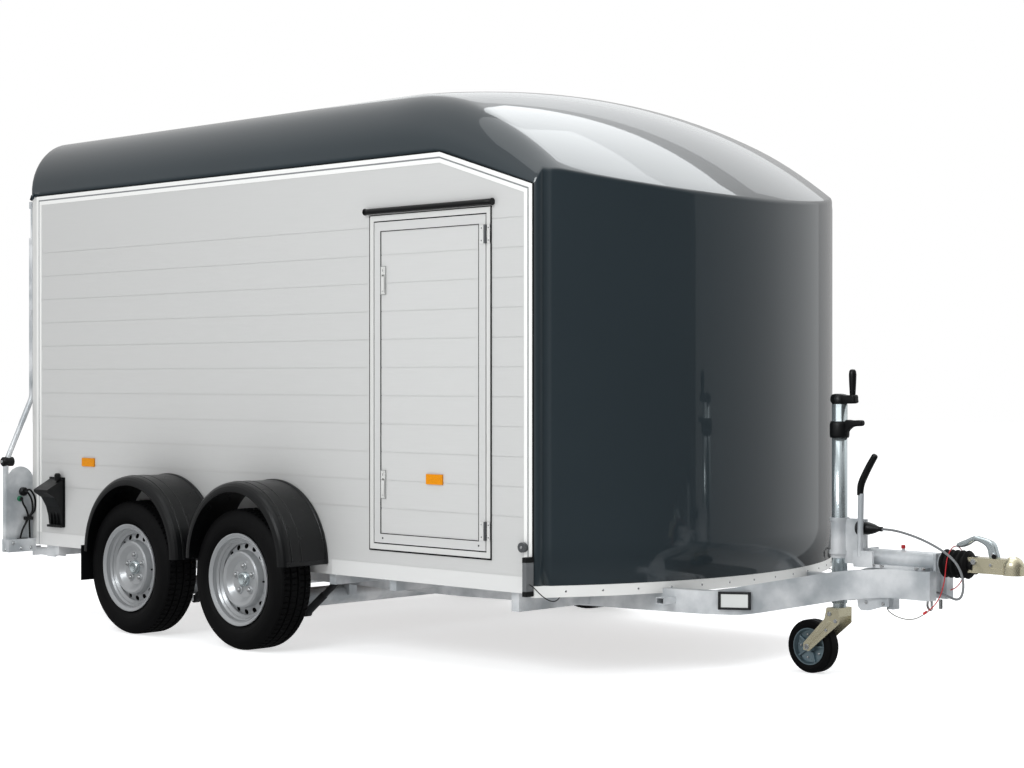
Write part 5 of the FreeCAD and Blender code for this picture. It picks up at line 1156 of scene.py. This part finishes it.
handle = slab_mesh(HANDLE, (-13.5, 13.5), 6.0, 4)
add_piece("handle", handle, POLISHED_ZINC, "trailer", ["coupling_handle"], smooth=False)
heads("head_bolts", HEAD_BOLTS, BRIGHT_STEEL)
heads("handle_pivot", HANDLE_PIVOT, BLACK_PLASTIC)
blocks("head_seams", HEAD_SEAMS, ZINC_YELLOW)
heads("grease_cap", GREASE_CAP, RED_CABLE)
heads("housing_bolts", HOUSING_BOLTS, BRIGHT_STEEL)
blocks("housing_flanges", HOUSING_FLANGES, GALVANISED, radius=3.0)
pipe("beam_shackle", SHACKLE, [4.5] * len(SHACKLE), BRIGHT_STEEL, steps=4, sides=10)
heads("closing_bolt", CLOSING_BOLT, BRIGHT_STEEL)
heads("cable_ferrule", CABLE_FERRULE, RED_CABLE)


# Jockey wheel: crank, clamp, fork and the spokes of its rim
JOCKEY_X = 4062
CRANK_ARM = (
    (4033, 1050), (4032, 1080), (4062, 1086), (4100, 1080),
    (4134, 1082), (4139, 1066), (4136, 1050), (4090, 1048),
)
CRANK_HUB = ((29, 0), (30, 6), (29, 34), (22, 38), (0.2, 38))
CRANK_GRIP = ((10, 0), (11.5, 12), (13.5, 50), (14.8, 84), (13, 98), (8, 104), (0.2, 105))
COLLAR = ((31, 917), (36, 917), (38, 926), (38, 968), (34, 980), (31, 980))
COLLAR_TAB = (
    (4094, 930), (4092, 982), (4130, 984), (4164, 985), (4171, 974), (4164, 963), (4128, 960), (4106, 946),
)
TUBE = ((25.5, 280), (29.2, 280), (30, 281), (30, 1046), (25.5, 1046))
CLAMP_FOOT = ((33.5, 455), (33.5, 470), (38.5, 471), (38.5, 473))
FORK_RIB = ((3948, 108), (3952, 122), (4042, 214), (4056, 208))
FORK_RIB_FACES = (43.5, 46.4)
FORK_BOLTS = (
    ((4046, 44, 240), SIDEWAYS, 9, 5, 24), ((4074, 44, 214), SIDEWAYS, 8, 4, 24),
    ((4030, 44, 176), SIDEWAYS, 6, 4, 24), ((3939, 44, 104), SIDEWAYS, 11, 3, 24),
)
JOCKEY_HUB = (3939, 12, 104)
SPOKE_COUNT = 5
SPOKE_SIZE = (42, 10, 12)
SPOKE_PLACE = (44, 0, 4)
SPOKE_EDGE = 2 * MM
RIVET_TURN = 0.63
RIM_RIVET = (5, 7, 16)
RIM_RIVET_PLACE = (47, 0, 0)
LEVER_GRIP = (
    (4207, -74, 704), (4211, -74, 742), (4226, -74, 776),
    (4250, -74, 818), (4272, -74, 852), (4276, -74, 858),
)
LEVER_RADII = (12, 13.5, 13.5, 13, 12, 7)

axis = at(spot(JOCKEY_X, 0, 0))
crank = [
    (slab_mesh(CRANK_ARM, (-17, 17), 6.0, 4), Matrix()),
    (turned_mesh(CRANK_HUB, 32), at(spot(JOCKEY_X, 0, 1046))),
    (turned_mesh(CRANK_GRIP, 24), at(spot(JOCKEY_X + 60, 0, 1075))),
]
add_parts("crank", crank, BLACK_PLASTIC, rider("jockey_crank"), replaced=["jockey_crank"])
collar = [(turned_mesh(COLLAR, 40), axis), (slab_mesh(COLLAR_TAB, (-13, 13), 5.0, 4), Matrix())]
add_parts("tube_collar", collar, BLACK_PLASTIC)
tube = [(turned_mesh(TUBE, 48), axis)]
add_parts("jockey_tube_smooth", tube, POLISHED_ZINC, rider("jockey_tube"), replaced=["jockey_tube"])
add_parts("clamp_foot", [(turned_mesh(CLAMP_FOOT, 40), axis)], GALVANISED)

body = rider("jockey_fork")
wheel_body = rider("jockey_rim")
hub_x, hub_y, hub_z = JOCKEY_HUB
spoke = bevelled_box(Vector(SPOKE_SIZE) * MM, SPOKE_EDGE)
rivet = head_mesh(*RIM_RIVET)
spoke_shift = Matrix.Translation(Vector(SPOKE_PLACE) * MM)
rivet_shift = Matrix.Translation(Vector(RIM_RIVET_PLACE) * MM)
for side, sign in SIDES:
    rib = slab_mesh(FORK_RIB, [sign * face for face in FORK_RIB_FACES], 1.2)
    add_piece(f"fork_rib_{side}", rib, ZINC_YELLOW, body, smooth=False)
    heads(f"fork_bolts_{side}", FORK_BOLTS, BRIGHT_STEEL, body, sign)
    hub = at(spot(hub_x, sign * hub_y, hub_z), (0, sign, 0))
    spokes = []
    rivets = []
    for turn in turns(SPOKE_COUNT):
        spokes.append((spoke, hub @ Matrix.Rotation(turn, 4, "Z") @ spoke_shift))
        rivets.append((rivet, hub @ Matrix.Rotation(turn + RIVET_TURN, 4, "Z") @ rivet_shift))
    add_parts(f"rim_spokes_{side}", spokes, BLUE_STEEL, wheel_body, smooth=False)
    add_parts(f"rim_rivets_{side}", rivets, BRIGHT_STEEL, wheel_body)

pipe(
    "lever_grip_smooth", LEVER_GRIP, LEVER_RADII, BLACK_PLASTIC, rider("lever_grip"),
    sides=20, replaced=["lever_grip"],
)


# Floor, backdrop and soft studio light
FLOOR_REACH = 40.0
FLOOR_GLOW = 0.62
BACKDROP_RADIUS = 60.0
HIDDEN_RAYS = ("diffuse", "glossy", "transmission", "volume_scatter", "shadow")
# Brightness of the sky over its height, and its strength toward the front
SKY = ((0.30, 0.10), (0.5, 0.42), (0.80, 0.75))
AHEAD_REACH = (0.35, 0.9)
AHEAD_STRENGTH = (1.0, 0.15)
LAMP_TINT = (0.95, 0.985, 1.0)
# Name, place, target, size and power of each lamp
LAMPS = (
    ("roof_box", (1.0, 0.0, 7.0), (0, 0, 0), (8.0, 5.0), 120),
    ("slope_box", (-1.2, 4.7, 8.4), (1.0, -0.5, 2.1), (5.0, 3.2), 120),
    ("far_box", (-4.2, 6.6, 6.2), (0.6, 0.2, 1.9), (7.5, 3.2), 45),
    ("door_box", (1.9, -6.4, 4.4), (1.1, -0.96, 1.2), (3.0, 2.2), 180),
    ("front_box", (5.9, 8.5, 1.0), (1.0, 0.0, 1.0), (13.0, 18.0), 160),
)


def stage_piece(name, mesh, finish, glow, hidden):
    """A glowing surface of the studio, hidden from some rays."""
    finish.set("Emission Color", grey(1.0))
    finish.set("Emission Strength", glow)
    mesh.materials.append(finish.material)
    piece = linked(name, mesh)
    for ray in hidden:
        setattr(piece, f"visible_{ray}", False)
    piece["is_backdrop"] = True


scene.view_settings.view_transform = "Standard"
corners = [(x * FLOOR_REACH, y * FLOOR_REACH, 0) for x, y in ((-1, -1), (1, -1), (1, 1), (-1, 1))]
floor = bpy.data.meshes.new("floor")
floor.from_pydata(corners, [], [(0, 1, 2, 3)])
paint = Finish("floor_paint", linear(236, 237, 238), 0.8, 0.0, 0.0, 0.1)
stage_piece("floor", floor, paint, FLOOR_GLOW, ["glossy"])
built = bmesh.new()
bmesh.ops.create_icosphere(built, subdivisions=3, radius=BACKDROP_RADIUS)
white = Finish("backdrop_white", grey(0.0), 1.0, 0.0, 0.0, 0.0)
stage_piece("backdrop", baked("backdrop", built), white, 1.0, HIDDEN_RAYS)

world = bpy.data.worlds.new("studio")
scene.world = world
world.use_nodes = True
tree = world.node_tree
split = tree.nodes.new("ShaderNodeSeparateXYZ")
tree.links.new(tree.nodes.new("ShaderNodeTexCoord").outputs["Generated"], split.inputs["Vector"])
height = remapped(tree, split.outputs["Z"], (0.0, 1.0), (-1.0, 1.0))
colour = ramped(tree, height, [(place, grey(value)) for place, value in SKY])
strength = remapped(tree, split.outputs["X"], AHEAD_STRENGTH, AHEAD_REACH)
background = tree.nodes["Background"]
tree.links.new(colour, background.inputs["Color"])
tree.links.new(strength, background.inputs["Strength"])

for name, place, target, size, power in LAMPS:
    data = bpy.data.lights.new(name, "AREA")
    data.shape = "RECTANGLE"
    data.size, data.size_y = size
    data.energy = power
    data.color = LAMP_TINT
    lamp = linked(name, data)
    lamp.location = place
    lamp.rotation_euler = (Vector(place) - Vector(target)).to_track_quat("Z", "Y").to_euler()
    lamp.visible_camera = False

low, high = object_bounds()
